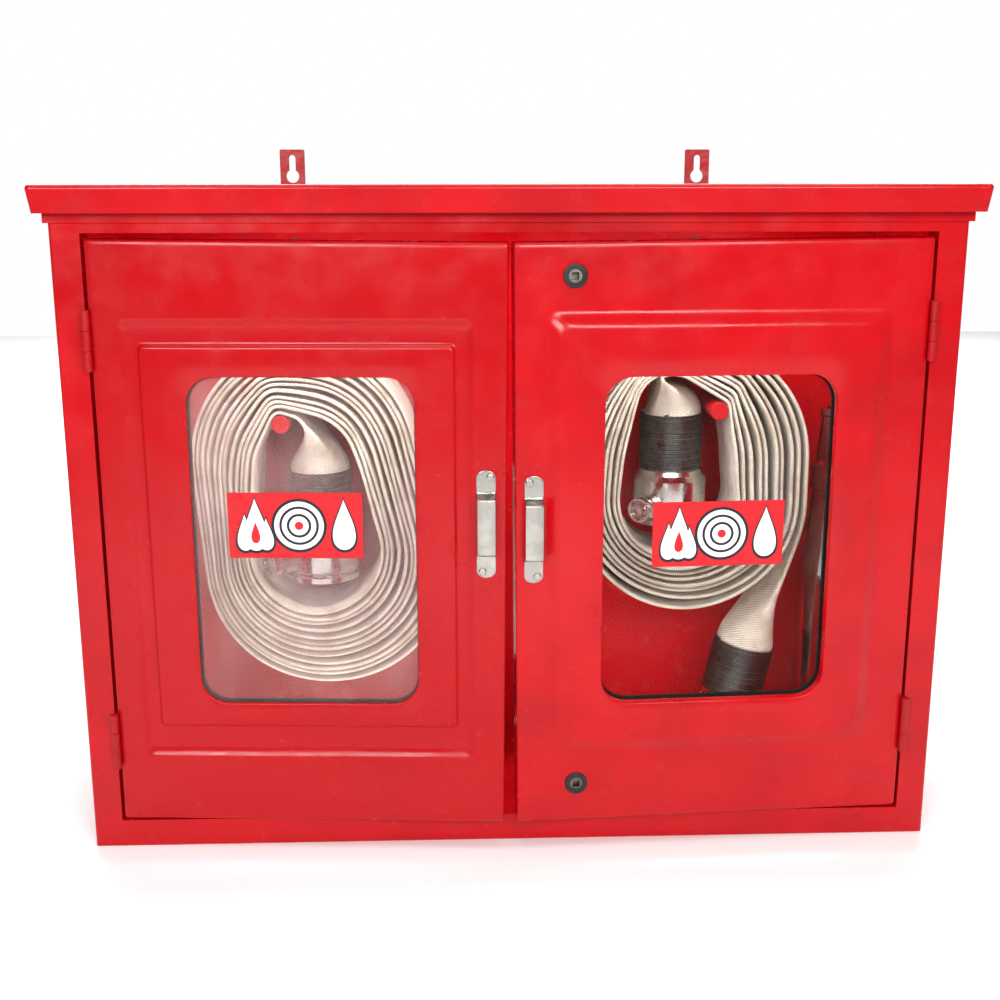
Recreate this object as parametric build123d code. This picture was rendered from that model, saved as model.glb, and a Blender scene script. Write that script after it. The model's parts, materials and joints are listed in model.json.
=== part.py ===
"""Wall-hung double-door fire hose cabinet with two rolled delivery hoses, their couplings and a branch pipe.

All sizes are millimetres. X runs to the right, Y into the cabinet, Z up. The origin is the middle of the
cabinet's underside. Doors are drawn shut and then swung a little way open, which is how they rest.
"""

from build123d import *
import math
import os

# Moulded body
BODY_WIDTH = 750.0
BODY_DEPTH = 250.0
BODY_HEIGHT = 574.0
WALL = 4.0
STILE_WIDTH = 25.0
SILL_HEIGHT = 24.5
HEAD_BAND = 34.0
JAMB_DEPTH = 25.0
CORNER_RADIUS = 3.0

# Roof moulding
ROOF_OVERHANG_SIDE = 10.0
ROOF_OVERHANG_FRONT = 23.0
ROOF_LIP = 22.0
ROOF_DRAFT = 3.0
ROOF_SKIN = 4.0
ROOF_EDGE_RADIUS = 4.0
SKIRT_DROP = 8.0
SKIRT_PROUD = 3.0

# Hanging straps
STRAP_WIDTH = 24.0
STRAP_THICK = 3.0
STRAP_RISE = 33.0
STRAP_TAIL = 70.0
STRAP_CENTRES = (-206.5, 193.0)
KEYHOLE_RADIUS = 6.25
KEYHOLE_SLOT = 6.4
KEYHOLE_DROP = 25.5
KEYHOLE_RUN = 17.0
RIVET_RADIUS = 2.4

# Doors
DOOR_AJAR = 3.0
DOOR_PROUD = 3.0
DOOR_SKIN = 4.0
DOOR_DEPTH = 24.0
DOOR_SIDE_GAP = 3.0
DOOR_TOP_GAP = 4.5
DOOR_BOTTOM_GAP = 4.0
DOOR_SAG = 3.0
MEETING_GAP_TOP = 3.5
MEETING_GAP_BOTTOM = 11.5
MEETING_X = -3.2

# Windows, glass and seals, from the hinge edge of each door
LEFT_WINDOW_WIDTH = 189.6
RIGHT_WINDOW_WIDTH = 196.6
WINDOW_FROM_BOTTOM = 109.5
WINDOW_FROM_TOP = 111.5
WINDOW_RADIUS = 24.0
LEFT_WINDOW_FROM_HINGE = 75.0
RIGHT_WINDOW_FROM_HINGE = 76.0
GLASS_THICK = 4.0
GLASS_LAP = 14.0
GASKET_EDGE = 6.0
GASKET_LIP = 3.0
GASKET_SIGHT = 1.2
LABEL_WIDTH = 114.0
LABEL_HEIGHT = 57.0
LABEL_THICK = 0.6
LEFT_LABEL_SHIFT = (-7.8, 16.5)
RIGHT_LABEL_SHIFT = (2.3, 6.0)

# Mouldings on the doors: distances from the hinge edge, the meeting line, the bottom and the top
GROOVE_MARGINS = (23.0, 30.8, 60.0, 64.5)
GROOVE_SIDE = 16.0
GROOVE_TOP = 22.0
GROOVE_BOTTOM = 29.0
GROOVE_DEPTH = 2.4
PAD_MARGINS = (30.0, 27.2, 62.5, 56.5)
PAD_PROUD = 5.0
PAD_SLOPE = 9.0

# Hinges
HINGE_LENGTH = 50.0
HINGE_RADIUS = 3.5
HINGE_PIN_RADIUS = 1.5
HINGE_RUNNING_GAP = 0.05
HINGE_END_GAP = 0.4
LEAF_THICK = 1.0
LEAF_DEPTH = 22.0
LEFT_HINGE_MARGINS = (81.5, 75.0)
RIGHT_HINGE_MARGINS = (76.5, 80.0)
HINGE_RIVET_RADIUS = 1.6
HINGE_RIVET_HEAD = 3.0
RIVET_FIT = 0.05

# Pull handles
HANDLE_LENGTH = 93.0
HANDLE_WIDTH = 16.0
HANDLE_TAB = 20.0
HANDLE_RISE = 15.0
HANDLE_STRIP = 1.8
LEFT_HANDLE_SHIFT = (20.2, 18.0)
RIGHT_HANDLE_SHIFT = (18.7, 13.0)
HANDLE_SCREW_RADIUS = 1.75
HANDLE_SCREW_HEAD = 3.4

# Locks on the right door
UPPER_LOCK_MARGINS = (51.8, 29.5)
LOWER_LOCK_MARGINS = (57.7, 34.0)
LOCK_FLANGE_RADIUS = 10.0
LOCK_FLANGE_THICK = 1.5
LOCK_BARREL_RADIUS = 8.0
LOCK_CORE_RADIUS = 5.5
LOCK_RUNNING_GAP = 0.08
LOCK_NUT_FIT = 0.1
LOCK_SOCKET = 6.0
LOCK_SOCKET_DEPTH = 8.0
LOCK_NUT_RADIUS = 12.5
LOCK_NUT_THICK = 4.0
LOCK_STUD_RADIUS = 3.5
CAM_LENGTH = 46.0
CAM_WIDTH = 14.0
CAM_THICK = 2.5

# Hose pegs
PEG_RADIUS = 8.5
PEG_FRONT = -8.0
PEG_PLATE = 60.0
PEG_PLATE_THICK = 3.0
PEG_BOLT_RADIUS = 2.5
PEG_BOLT_HEAD = 4.5
LEFT_PEG = (-211.0, 361.0)
RIGHT_PEG = (198.0, 371.0)

# Hoses: lay-flat width, thickness of one flat turn, and round size where a coupling fills it
HOSE_FLAT = 85.0
HOSE_FRONT = -5.0
HOSE_TURN = 4.6
HOSE_ROUND = 28.5
SHANK_RADIUS = 26.0
BINDING_RADIUS = 31.0
BINDING_LENGTH = 56.0
SOFT_GAP = 0.5
LEFT_ROLL_OUTSIDE = ((-172.0, 222.0, 118.0), (-190.0, 330.0, 110.0))
LEFT_ROLL_HOLE = ((-184.0, 240.0, 57.5), (-192.0, 318.0, 44.0), (-211.0, 361.0, PEG_RADIUS + SOFT_GAP))
RIGHT_ROLL_OUTSIDE = ((174.0, 283.0, 113.0), (175.0, 325.0, 113.0))
RIGHT_ROLL_HOLE = ((163.0, 286.0, 52.0), (155.0, 372.0, 31.0), (198.0, 371.0, PEG_RADIUS + SOFT_GAP))

# Female couplings, hanging mouth down in the middle of each roll: axis x, top of the metal body
COUPLING_RADIUS = 36.0
COUPLING_BODY = 52.0
COUPLING_NECK = 30.0
COUPLING_BORE = 32.0
COUPLING_SOCKET = 26.0
WATERWAY = 22.0
SEAL_THICK = 5.0
LEFT_COUPLING = (-180.0, 256.0)
RIGHT_COUPLING = (160.0, 309.0)

# Spring-loaded release lugs
LUG_ABOVE_MOUTH = 20.0
LUG_BOSS_RADIUS = 11.0
LUG_BOSS_END = 47.0
LUG_CHAMBER_RADIUS = 7.0
LUG_ROD_RADIUS = 4.0
LUG_COLLAR_RADIUS = 6.6
LUG_COLLAR_START = 34.0
LUG_COLLAR_THICK = 2.0
LUG_KNOB_RADIUS = 12.0
LUG_KNOB_START = 50.0
LUG_KNOB_END = 60.0
LUG_TRAVEL = 4.0
LUG_SPRING_SHUT = 4.0
LUG_RUNNING_GAP = 0.1
LUG_SPRING_WIRE = 0.5
LUG_SPRING_RADIUS = 5.6
LEFT_LUG_TURN = 180.0 + 36.87
RIGHT_LUG_TURN = 180.0 + 53.13

# Male couplings on the outer ends, standing on the cabinet floor
MALE_LENGTH = 66.0
MALE_RADIUS = 30.0
MALE_TAPER_END = 27.5
TAIL_LENGTH = 30.0
RIGHT_TAIL_TILT = 13.0
LEFT_TAIL_TILT = 0.0
RIGHT_MALE_X = 214.0
LEFT_MALE_X = -34.0
RIGHT_TAIL_START = (289.0, 262.0)
LEFT_TAIL_START = (-21.0, 250.0)
LEFT_ARCH = (-38.0, 285.0, 17.0)
LEFT_ARCH_FOOT = 222.0

# Branch pipe and nozzle, stood at the right-hand wall in two spring clips
BRANCH_FROM_WALL = 44.0
BRANCH_Y = 62.0
BRANCH_INLET_RADIUS = 30.0
BRANCH_INLET_LENGTH = 62.0
BRANCH_BODY_RADIUS = 27.0
BRANCH_TIP_RADIUS = 15.0
BRANCH_LENGTH = 300.0
BRANCH_BARREL = 130.0
BRANCH_WALL = 3.0
NOZZLE_LENGTH = 70.0
NOZZLE_RADIUS = 20.0
NOZZLE_BORE = 8.0
CLIP_THICK = 1.6
CLIP_WIDTH = 18.0
CLIP_HEIGHTS = (108.0, 168.0)

HALF_WIDTH = BODY_WIDTH / 2
FRONT = -BODY_DEPTH / 2
BACK = BODY_DEPTH / 2
HALF_OPENING = HALF_WIDTH - STILE_WIDTH
HEAD_HEIGHT = BODY_HEIGHT - HEAD_BAND
DOOR_FACE = FRONT - DOOR_PROUD
DOOR_EDGE = HALF_OPENING - DOOR_SIDE_GAP
DOOR_TOP = HEAD_HEIGHT - DOOR_TOP_GAP
DOOR_BOTTOM = SILL_HEIGHT + DOOR_BOTTOM_GAP
GLASS_FRONT = DOOR_FACE + DOOR_SKIN
HINGE_X = HALF_OPENING - DOOR_SIDE_GAP / 2
HINGE_Y = DOOR_FACE - HINGE_RADIUS - 0.5
ROOF_TOP = BODY_HEIGHT + ROOF_SKIN
ROOF_BOTTOM = ROOF_TOP - ROOF_LIP
HOSE_MIDDLE = HOSE_FRONT + HOSE_FLAT / 2
LUG_CHAMBER_END = LUG_COLLAR_START + LUG_COLLAR_THICK + LUG_TRAVEL + LUG_SPRING_SHUT
BRANCH_PLACE = (HALF_WIDTH - WALL - BRANCH_FROM_WALL, BRANCH_Y)
MIDDLE_HEIGHT = (DOOR_TOP + DOOR_BOTTOM) / 2
LEFT_HINGES = (DOOR_TOP - LEFT_HINGE_MARGINS[0], DOOR_BOTTOM + LEFT_HINGE_MARGINS[1])
RIGHT_HINGES = (DOOR_TOP - RIGHT_HINGE_MARGINS[0], DOOR_BOTTOM + RIGHT_HINGE_MARGINS[1])
LEFT_HANDLE = (MEETING_X - LEFT_HANDLE_SHIFT[0], MIDDLE_HEIGHT + LEFT_HANDLE_SHIFT[1])
RIGHT_HANDLE = (MEETING_X + RIGHT_HANDLE_SHIFT[0], MIDDLE_HEIGHT + RIGHT_HANDLE_SHIFT[1])
UPPER_LOCK = (MEETING_X + UPPER_LOCK_MARGINS[0], DOOR_TOP - UPPER_LOCK_MARGINS[1])
LOWER_LOCK = (MEETING_X + LOWER_LOCK_MARGINS[0], DOOR_BOTTOM + LOWER_LOCK_MARGINS[1])
LOCK_PLACES = (UPPER_LOCK, LOWER_LOCK)
WINDOW_BOTTOM = DOOR_BOTTOM + WINDOW_FROM_BOTTOM
WINDOW_TOP = DOOR_TOP - WINDOW_FROM_TOP
LEFT_WINDOW = (
    -DOOR_EDGE + LEFT_WINDOW_FROM_HINGE,
    -DOOR_EDGE + LEFT_WINDOW_FROM_HINGE + LEFT_WINDOW_WIDTH,
)
RIGHT_WINDOW = (
    DOOR_EDGE - RIGHT_WINDOW_FROM_HINGE - RIGHT_WINDOW_WIDTH,
    DOOR_EDGE - RIGHT_WINDOW_FROM_HINGE,
)
WINDOW_MIDDLE = (WINDOW_BOTTOM + WINDOW_TOP) / 2
LEFT_LABEL = (sum(LEFT_WINDOW) / 2 + LEFT_LABEL_SHIFT[0], WINDOW_MIDDLE + LEFT_LABEL_SHIFT[1])
RIGHT_LABEL = (sum(RIGHT_WINDOW) / 2 + RIGHT_LABEL_SHIFT[0], WINDOW_MIDDLE + RIGHT_LABEL_SHIFT[1])


def standing_foot(x, tilt):
    """Middle of a leaning coupling's foot, with the foot's lowest corner on the cabinet floor."""
    return (x, WALL + MALE_TAPER_END * math.sin(math.radians(abs(tilt))))


LEFT_MALE_FOOT = standing_foot(LEFT_MALE_X, LEFT_TAIL_TILT)
RIGHT_MALE_FOOT = standing_foot(RIGHT_MALE_X, RIGHT_TAIL_TILT)


def block(x0, x1, y0, y1, z0, z1):
    """A box between two corners."""
    centre = Pos((x0 + x1) / 2, (y0 + y1) / 2, (z0 + z1) / 2)
    return centre * Box(x1 - x0, y1 - y0, z1 - z0)


def rod_y(x, z, y0, y1, radius):
    """A round bar along Y."""
    return Pos(x, (y0 + y1) / 2, z) * Rot(90, 0, 0) * Cylinder(radius, y1 - y0)


def rod_x(y, z, x0, x1, radius):
    """A round bar along X."""
    return Pos((x0 + x1) / 2, y, z) * Rot(0, 90, 0) * Cylinder(radius, abs(x1 - x0))


def rod_z(x, y, z0, z1, radius):
    """A round bar along Z."""
    return Pos(x, y, (z0 + z1) / 2) * Cylinder(radius, z1 - z0)


def prism_y(face, y0, y1):
    """A face drawn in X and Z, carried from y0 to y1."""
    plane = Plane(origin=(0, y0, 0), x_dir=(1, 0, 0), z_dir=(0, -1, 0))
    return extrude(plane * face, amount=-(y1 - y0))


def rounded(x0, x1, z0, z1, radius):
    """A rectangle in X and Z with round corners."""
    return Pos((x0 + x1) / 2, (z0 + z1) / 2) * RectangleRounded(x1 - x0, z1 - z0, radius)


def joined(solids):
    """Several loose solids as one group."""
    return Compound(children=list(solids))


def turned(profile, x, y, z=0.0):
    """A half outline of (radius, height) points turned about a vertical axis."""
    outline = make_face(Polyline(*[(r, 0, h) for r, h in profile], close=True))
    return Pos(x, y, z) * revolve(outline, Axis.Z)


# ---------------------------------------------------------------- cabinet


def hinge_rivet_points(heights):
    """Places of the hinge rivets along one jamb."""
    return [(FRONT + JAMB_DEPTH / 2, z + side * HINGE_LENGTH / 3.4) for z in heights for side in (-1, 1)]


def body_shell():
    """Moulded box, open at the front, where the face frame is bonded on."""
    shell = block(-HALF_WIDTH, HALF_WIDTH, FRONT + WALL, BACK, 0, BODY_HEIGHT)
    upright = shell.edges().filter_by(Axis.Z).filter_by(lambda edge: edge.center().Y > 0)
    shell = fillet(upright, CORNER_RADIUS)
    shell -= block(-HALF_WIDTH + WALL, HALF_WIDTH - WALL, FRONT, BACK - WALL, WALL, BODY_HEIGHT - WALL)
    for x in STRAP_CENTRES:
        for z in strap_rivet_heights():
            shell -= rod_y(x, z, BACK - WALL - 1, BACK + 1, RIVET_RADIUS)
    for x, z in (LEFT_PEG, RIGHT_PEG):
        for bx, bz in peg_bolt_points(x, z):
            shell -= rod_y(bx, bz, BACK - WALL - 1, BACK + 1, PEG_BOLT_RADIUS)
    for z in CLIP_HEIGHTS:
        shell -= rod_x(BRANCH_PLACE[1], z, HALF_WIDTH - WALL - 1, HALF_WIDTH + 1, RIVET_RADIUS)
    return shell


def face_frame():
    """Frame bonded to the front of the box, with a folded jamb behind each of its stiles."""
    frame = block(-HALF_WIDTH, HALF_WIDTH, FRONT, FRONT + WALL, 0, BODY_HEIGHT)
    upright = frame.edges().filter_by(Axis.Z).filter_by(lambda edge: edge.center().Y < FRONT + WALL / 2)
    frame = fillet(upright, CORNER_RADIUS)
    frame -= block(-HALF_OPENING, HALF_OPENING, FRONT - 1, FRONT + WALL + 1, SILL_HEIGHT, HEAD_HEIGHT)
    for side in (-1, 1):
        edges = sorted((side * HALF_OPENING, side * (HALF_OPENING + WALL)))
        frame += block(*edges, FRONT + WALL / 2, FRONT + JAMB_DEPTH, SILL_HEIGHT - WALL, HEAD_HEIGHT + WALL)
        heights = LEFT_HINGES if side < 0 else RIGHT_HINGES
        for y, z in hinge_rivet_points(heights):
            frame -= rod_x(y, z, *(edge + shift for edge, shift in zip(edges, (-1, 1))), HINGE_RIVET_RADIUS)
    return frame


def roof_cap():
    """Roof moulding: a drafted lip that stands out past the body, with a small skirt under it."""
    half = HALF_WIDTH + ROOF_OVERHANG_SIDE
    front = FRONT - ROOF_OVERHANG_FRONT
    top = Pos(0, (front + BACK) / 2, ROOF_TOP) * Rectangle(2 * half, BACK - front)
    inset = ROOF_DRAFT
    under = Rectangle(2 * (half - inset), BACK - front - inset)
    low = Pos(0, (front + inset + BACK) / 2, ROOF_BOTTOM) * under
    lip = loft([low, top])
    corners = lip.edges().filter_by(lambda edge: edge.center().Y < front + ROOF_DRAFT and edge.length < 2 * ROOF_LIP)
    lip = fillet(corners, ROOF_EDGE_RADIUS)
    rim = lip.edges().filter_by(lambda edge: edge.center().Z > ROOF_TOP - 0.1 and edge.center().Y < BACK - 1)
    lip = fillet(rim, ROOF_EDGE_RADIUS - 1)
    skirt = block(
        -HALF_WIDTH - SKIRT_PROUD,
        HALF_WIDTH + SKIRT_PROUD,
        FRONT - SKIRT_PROUD,
        BACK,
        ROOF_BOTTOM - SKIRT_DROP,
        ROOF_BOTTOM + 1,
    )
    pocket = block(-HALF_WIDTH, HALF_WIDTH, FRONT, BACK + 1, ROOF_BOTTOM - SKIRT_DROP - 1, BODY_HEIGHT)
    return lip + skirt - pocket


def strap_rivet_heights():
    """Heights of the two rivets through each hanging strap."""
    top = BODY_HEIGHT - STRAP_TAIL / 4
    return (top, top - STRAP_TAIL / 2)


def keyhole_height():
    """Height of the keyhole's round entry."""
    return ROOF_TOP + STRAP_RISE - KEYHOLE_DROP


def hanging_strap(x):
    """Flat steel strap down the back, with a keyhole above the roof."""
    low = BODY_HEIGHT - STRAP_TAIL
    high = ROOF_TOP + STRAP_RISE
    strap = prism_y(rounded(x - STRAP_WIDTH / 2, x + STRAP_WIDTH / 2, low, high, 1.5), BACK, BACK + STRAP_THICK)
    entry = keyhole_height()
    strap -= rod_y(x, entry, BACK - 1, BACK + STRAP_THICK + 1, KEYHOLE_RADIUS)
    half_slot = KEYHOLE_SLOT / 2
    strap -= block(x - half_slot, x + half_slot, BACK - 1, BACK + STRAP_THICK + 1, entry, entry + KEYHOLE_RUN)
    strap -= rod_y(x, entry + KEYHOLE_RUN, BACK - 1, BACK + STRAP_THICK + 1, half_slot)
    for z in strap_rivet_heights():
        strap -= rod_y(x, z, BACK - 1, BACK + STRAP_THICK + 1, RIVET_RADIUS)
    return strap


def hanging_strap_rivets():
    """Rivets through the straps and the back wall, headed inside and flush with the strap."""
    rivets = []
    for x in STRAP_CENTRES:
        for z in strap_rivet_heights():
            shank = rod_y(x, z, BACK - WALL, BACK + STRAP_THICK, RIVET_RADIUS)
            head = rod_y(x, z, BACK - WALL - 1.5, BACK - WALL, 2 * RIVET_RADIUS)
            rivets.append(shank + head)
    return joined(rivets)


def peg_bolt_points(x, z):
    """Four bolt places on a peg's plate."""
    reach = PEG_PLATE / 2 - 10
    return [(x + sx * reach, z + sz * reach) for sx in (-1, 1) for sz in (-1, 1)]


def hose_peg(x, z):
    """Round peg welded to a square plate on the back wall, with a softened front end."""
    wall = BACK - WALL
    plate = prism_y(
        rounded(x - PEG_PLATE / 2, x + PEG_PLATE / 2, z - PEG_PLATE / 2, z + PEG_PLATE / 2, 4),
        wall - PEG_PLATE_THICK,
        wall,
    )
    for bx, bz in peg_bolt_points(x, z):
        plate -= rod_y(bx, bz, wall - PEG_PLATE_THICK - 1, wall + 1, PEG_BOLT_RADIUS)
    bar = rod_y(x, z, PEG_FRONT, wall - PEG_PLATE_THICK, PEG_RADIUS)
    tip = bar.edges().filter_by(lambda edge: edge.center().Y < PEG_FRONT + 1)
    return fillet(tip, 1.2) + plate


def peg_bolts():
    """Bolts through both peg plates and the back wall, flush behind it."""
    bolts = []
    wall = BACK - WALL
    for x, z in (LEFT_PEG, RIGHT_PEG):
        for bx, bz in peg_bolt_points(x, z):
            shank = rod_y(bx, bz, wall - PEG_PLATE_THICK, BACK, PEG_BOLT_RADIUS)
            head = rod_y(bx, bz, wall - PEG_PLATE_THICK - 3.5, wall - PEG_PLATE_THICK, PEG_BOLT_HEAD)
            bolts.append(shank + head)
    return joined(bolts)


# ---------------------------------------------------------------- hinges


def knuckle(side, z0, z1, bore):
    """One barrel of a butt hinge."""
    x = side * HINGE_X
    return rod_z(x, HINGE_Y, z0, z1, HINGE_RADIUS) - rod_z(x, HINGE_Y, z0 - 1, z1 + 1, bore)


def leaf_plate(side, z, near, barrels):
    """Flat leaf that lies in the gap, joined to its barrels; near is the leaf face's distance from the middle."""
    half = HINGE_LENGTH / 2
    across = sorted((side * near, side * (near + LEAF_THICK)))
    start = DOOR_FACE
    leaf = block(*across, start, start + LEAF_DEPTH, z - half, z + half)
    for z0, z1 in barrels:
        web = block(*across, HINGE_Y, start + 1, z0, z1)
        leaf += web - rod_z(side * HINGE_X, HINGE_Y, z0 - 1, z1 + 1, HINGE_RADIUS - 0.2)
    for y, rivet_z in hinge_rivet_points((z,)):
        leaf -= rod_x(y, rivet_z, across[0] - 1, across[1] + 1, HINGE_RIVET_RADIUS)
    return leaf


def frame_leaf(side, z):
    """Hinge leaf on the jamb, with the two outer barrels."""
    half, third = HINGE_LENGTH / 2, HINGE_LENGTH / 6
    barrels = [(z - half, z - third - HINGE_END_GAP / 2), (z + third + HINGE_END_GAP / 2, z + half)]
    leaf = leaf_plate(side, z, HALF_OPENING - LEAF_THICK, barrels)
    for z0, z1 in barrels:
        leaf += knuckle(side, z0, z1, HINGE_PIN_RADIUS)
    return leaf


def door_leaf(side, z):
    """Hinge leaf on the door's edge, with the middle barrel."""
    third = HINGE_LENGTH / 6
    barrels = [(z - third + HINGE_END_GAP / 2, z + third - HINGE_END_GAP / 2)]
    leaf = leaf_plate(side, z, DOOR_EDGE, barrels)
    for z0, z1 in barrels:
        leaf += knuckle(side, z0, z1, HINGE_PIN_RADIUS + HINGE_RUNNING_GAP)
    return leaf


def hinge_pins():
    """The four hinge pins."""
    half = HINGE_LENGTH / 2
    places = [(-1, z) for z in LEFT_HINGES] + [(1, z) for z in RIGHT_HINGES]
    return joined(rod_z(side * HINGE_X, HINGE_Y, z - half, z + half, HINGE_PIN_RADIUS) for side, z in places)


def hinge_rivets(side, heights, face, wall_end):
    """Rivets through a leaf and the wall behind it, headed on the far side of the wall."""
    rivets = []
    outward = 1 if wall_end > face else -1
    for y, z in hinge_rivet_points(heights):
        shank = rod_x(y, z, *sorted((side * face, side * wall_end)), HINGE_RIVET_RADIUS - RIVET_FIT)
        head_end = wall_end + outward * 1.4
        head = rod_x(y, z, *sorted((side * wall_end, side * head_end)), HINGE_RIVET_HEAD)
        rivets.append(shank + head)
    return rivets


def frame_hinge_rivets():
    """Rivets that hold the frame leaves to the jambs."""
    face = HALF_OPENING - LEAF_THICK
    end = HALF_OPENING + WALL
    return joined(hinge_rivets(-1, LEFT_HINGES, face, end) + hinge_rivets(1, RIGHT_HINGES, face, end))


# ---------------------------------------------------------------- doors


def door_outline(side, inset):
    """Outline of one door in X and Z, shrunk by inset; the free edge leans and the bottom sags a little."""
    gap = MEETING_GAP_TOP / 2, MEETING_GAP_BOTTOM / 2
    hinge = side * (DOOR_EDGE - inset)
    free_top = MEETING_X + side * (gap[0] + inset)
    free_bottom = MEETING_X + side * (gap[1] + inset)
    top_free = DOOR_TOP - DOOR_SAG - inset
    bottom_free = DOOR_BOTTOM - DOOR_SAG / 2 + inset
    points = [
        (hinge, DOOR_BOTTOM + inset),
        (hinge, DOOR_TOP - inset),
        (free_top, top_free),
        (free_bottom, bottom_free),
    ]
    return make_face(Polyline(*points, close=True))


def window_face(side, margin):
    """A window's outline, grown by margin."""
    x0, x1 = LEFT_WINDOW if side < 0 else RIGHT_WINDOW
    return rounded(
        x0 - margin, x1 + margin, WINDOW_BOTTOM - margin, WINDOW_TOP + margin, WINDOW_RADIUS + max(margin, -8)
    )


def door_tray(side):
    """A door skin with its edges folded back, hollow behind, cut for its window."""
    tray = prism_y(door_outline(side, 0), DOOR_FACE, DOOR_FACE + DOOR_DEPTH)
    tray -= prism_y(door_outline(side, DOOR_SKIN), DOOR_FACE + DOOR_SKIN, DOOR_FACE + DOOR_DEPTH + 1)
    tray -= prism_y(window_face(side, 0), DOOR_FACE - PAD_PROUD - 1, DOOR_FACE + DOOR_SKIN + 1)
    heights = LEFT_HINGES if side < 0 else RIGHT_HINGES
    across = sorted((side * (DOOR_EDGE - DOOR_SKIN - 1), side * (DOOR_EDGE + 1)))
    for y, z in hinge_rivet_points(heights):
        tray -= rod_x(y, z, *across, HINGE_RIVET_RADIUS)
    return tray


def handle_screw_points(place, mirrored):
    """Screw places on one handle: a screw in one corner of each tab, with an empty hole in the other."""
    x, z = place
    lean = -1 if mirrored else 1
    reach = HANDLE_LENGTH / 2 - HANDLE_TAB / 2
    across, along = HANDLE_WIDTH / 4.6, HANDLE_TAB / 4.6
    screws = [(x + lean * across, z + reach + along), (x - lean * across, z - reach - along)]
    empty = [(x - lean * across, z + reach - along), (x + lean * across, z - reach + along)]
    return screws, empty


def left_door_panel():
    """Left door: flat border, a groove, and a flat field around the window."""
    panel = door_tray(-1)
    hinge, meeting, bottom, top = GROOVE_MARGINS
    x0, x1 = hinge - DOOR_EDGE, MEETING_X - meeting
    z0, z1 = DOOR_BOTTOM + bottom, DOOR_TOP - top
    ring = rounded(x0, x1, z0, z1, 6) - rounded(
        x0 + GROOVE_SIDE, x1 - GROOVE_SIDE, z0 + GROOVE_BOTTOM, z1 - GROOVE_TOP, 4
    )
    panel -= prism_y(ring, DOOR_FACE - 1, DOOR_FACE + GROOVE_DEPTH)
    for x, z in handle_screw_points(LEFT_HANDLE, False)[0]:
        panel -= rod_y(x, z, DOOR_FACE - 1, DOOR_FACE + DOOR_SKIN + 1, HANDLE_SCREW_RADIUS)
    return panel


def right_door_panel():
    """Right door: a soft raised field around the window, and holes for the two locks."""
    panel = door_tray(1)
    hinge, meeting, bottom, top = PAD_MARGINS
    x0, x1 = MEETING_X + meeting, DOOR_EDGE - hinge
    z0, z1 = DOOR_BOTTOM + bottom, DOOR_TOP - top
    low = Plane(origin=(0, DOOR_FACE, 0), x_dir=(1, 0, 0), z_dir=(0, -1, 0)) * rounded(x0, x1, z0, z1, 14)
    slope = PAD_SLOPE
    high_face = rounded(x0 + slope, x1 - slope, z0 + slope, z1 - slope, 8)
    high = Plane(origin=(0, DOOR_FACE - PAD_PROUD, 0), x_dir=(1, 0, 0), z_dir=(0, -1, 0)) * high_face
    panel += loft([low, high])
    panel -= prism_y(window_face(1, 0), DOOR_FACE - PAD_PROUD - 1, DOOR_FACE + DOOR_SKIN + 1)
    for x, z in LOCK_PLACES:
        panel -= rod_y(x, z, DOOR_FACE - 1, DOOR_FACE + DOOR_SKIN + 1, LOCK_BARREL_RADIUS)
    for x, z in handle_screw_points(RIGHT_HANDLE, True)[0]:
        panel -= rod_y(x, z, DOOR_FACE - 1, DOOR_FACE + DOOR_SKIN + 1, HANDLE_SCREW_RADIUS)
    return panel


def door_glass(side):
    """Window pane behind the door skin."""
    return prism_y(window_face(side, GLASS_LAP), GLASS_FRONT, GLASS_FRONT + GLASS_THICK)


def glass_gasket(side):
    """Rubber frame that holds the pane's edge against the skin."""
    outer = prism_y(
        window_face(side, GLASS_LAP + GASKET_EDGE), GLASS_FRONT, GLASS_FRONT + GLASS_THICK + GASKET_LIP
    )
    outer -= prism_y(window_face(side, GLASS_LAP), GLASS_FRONT - 1, GLASS_FRONT + GLASS_THICK)
    back = GLASS_FRONT + GLASS_THICK + GASKET_LIP + 1
    return outer - prism_y(window_face(side, -GASKET_SIGHT), GLASS_FRONT - 1, back)


def label_plate(place):
    """Thin printed film on the pane's front."""
    x, z = place
    half_w, half_h = LABEL_WIDTH / 2, LABEL_HEIGHT / 2
    return block(x - half_w, x + half_w, GLASS_FRONT - LABEL_THICK, GLASS_FRONT, z - half_h, z + half_h)


def pull_handle(place, mirrored):
    """Pressed strip handle: two screwed tabs and a raised grip between them."""
    x, z = place
    half_w, half_l = HANDLE_WIDTH / 2, HANDLE_LENGTH / 2
    grip = half_l - HANDLE_TAB
    tab_front = DOOR_FACE - HANDLE_STRIP
    top = DOOR_FACE - HANDLE_RISE
    handle = block(x - half_w, x + half_w, top, top + HANDLE_STRIP, z - grip, z + grip)
    for end in (-1, 1):
        outer_end, inner_end = z + end * half_l, z + end * (grip - HANDLE_STRIP)
        round_tab = rounded(x - half_w, x + half_w, *sorted((inner_end, outer_end)), half_w * 0.6)
        root_end = z + end * (grip + half_w)
        square_root = Pos(x, (inner_end + root_end) / 2) * Rectangle(HANDLE_WIDTH, abs(root_end - inner_end))
        tab = prism_y(round_tab + square_root, tab_front, DOOR_FACE)
        wall_ends = sorted((z + end * grip, z + end * (grip - HANDLE_STRIP)))
        wall = block(x - half_w, x + half_w, top, DOOR_FACE, *wall_ends)
        handle += tab + wall
    screws, empty = handle_screw_points(place, mirrored)
    for hole_x, hole_z in screws + empty:
        handle -= rod_y(hole_x, hole_z, tab_front - 1, DOOR_FACE + 1, HANDLE_SCREW_RADIUS)
    return handle


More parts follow.
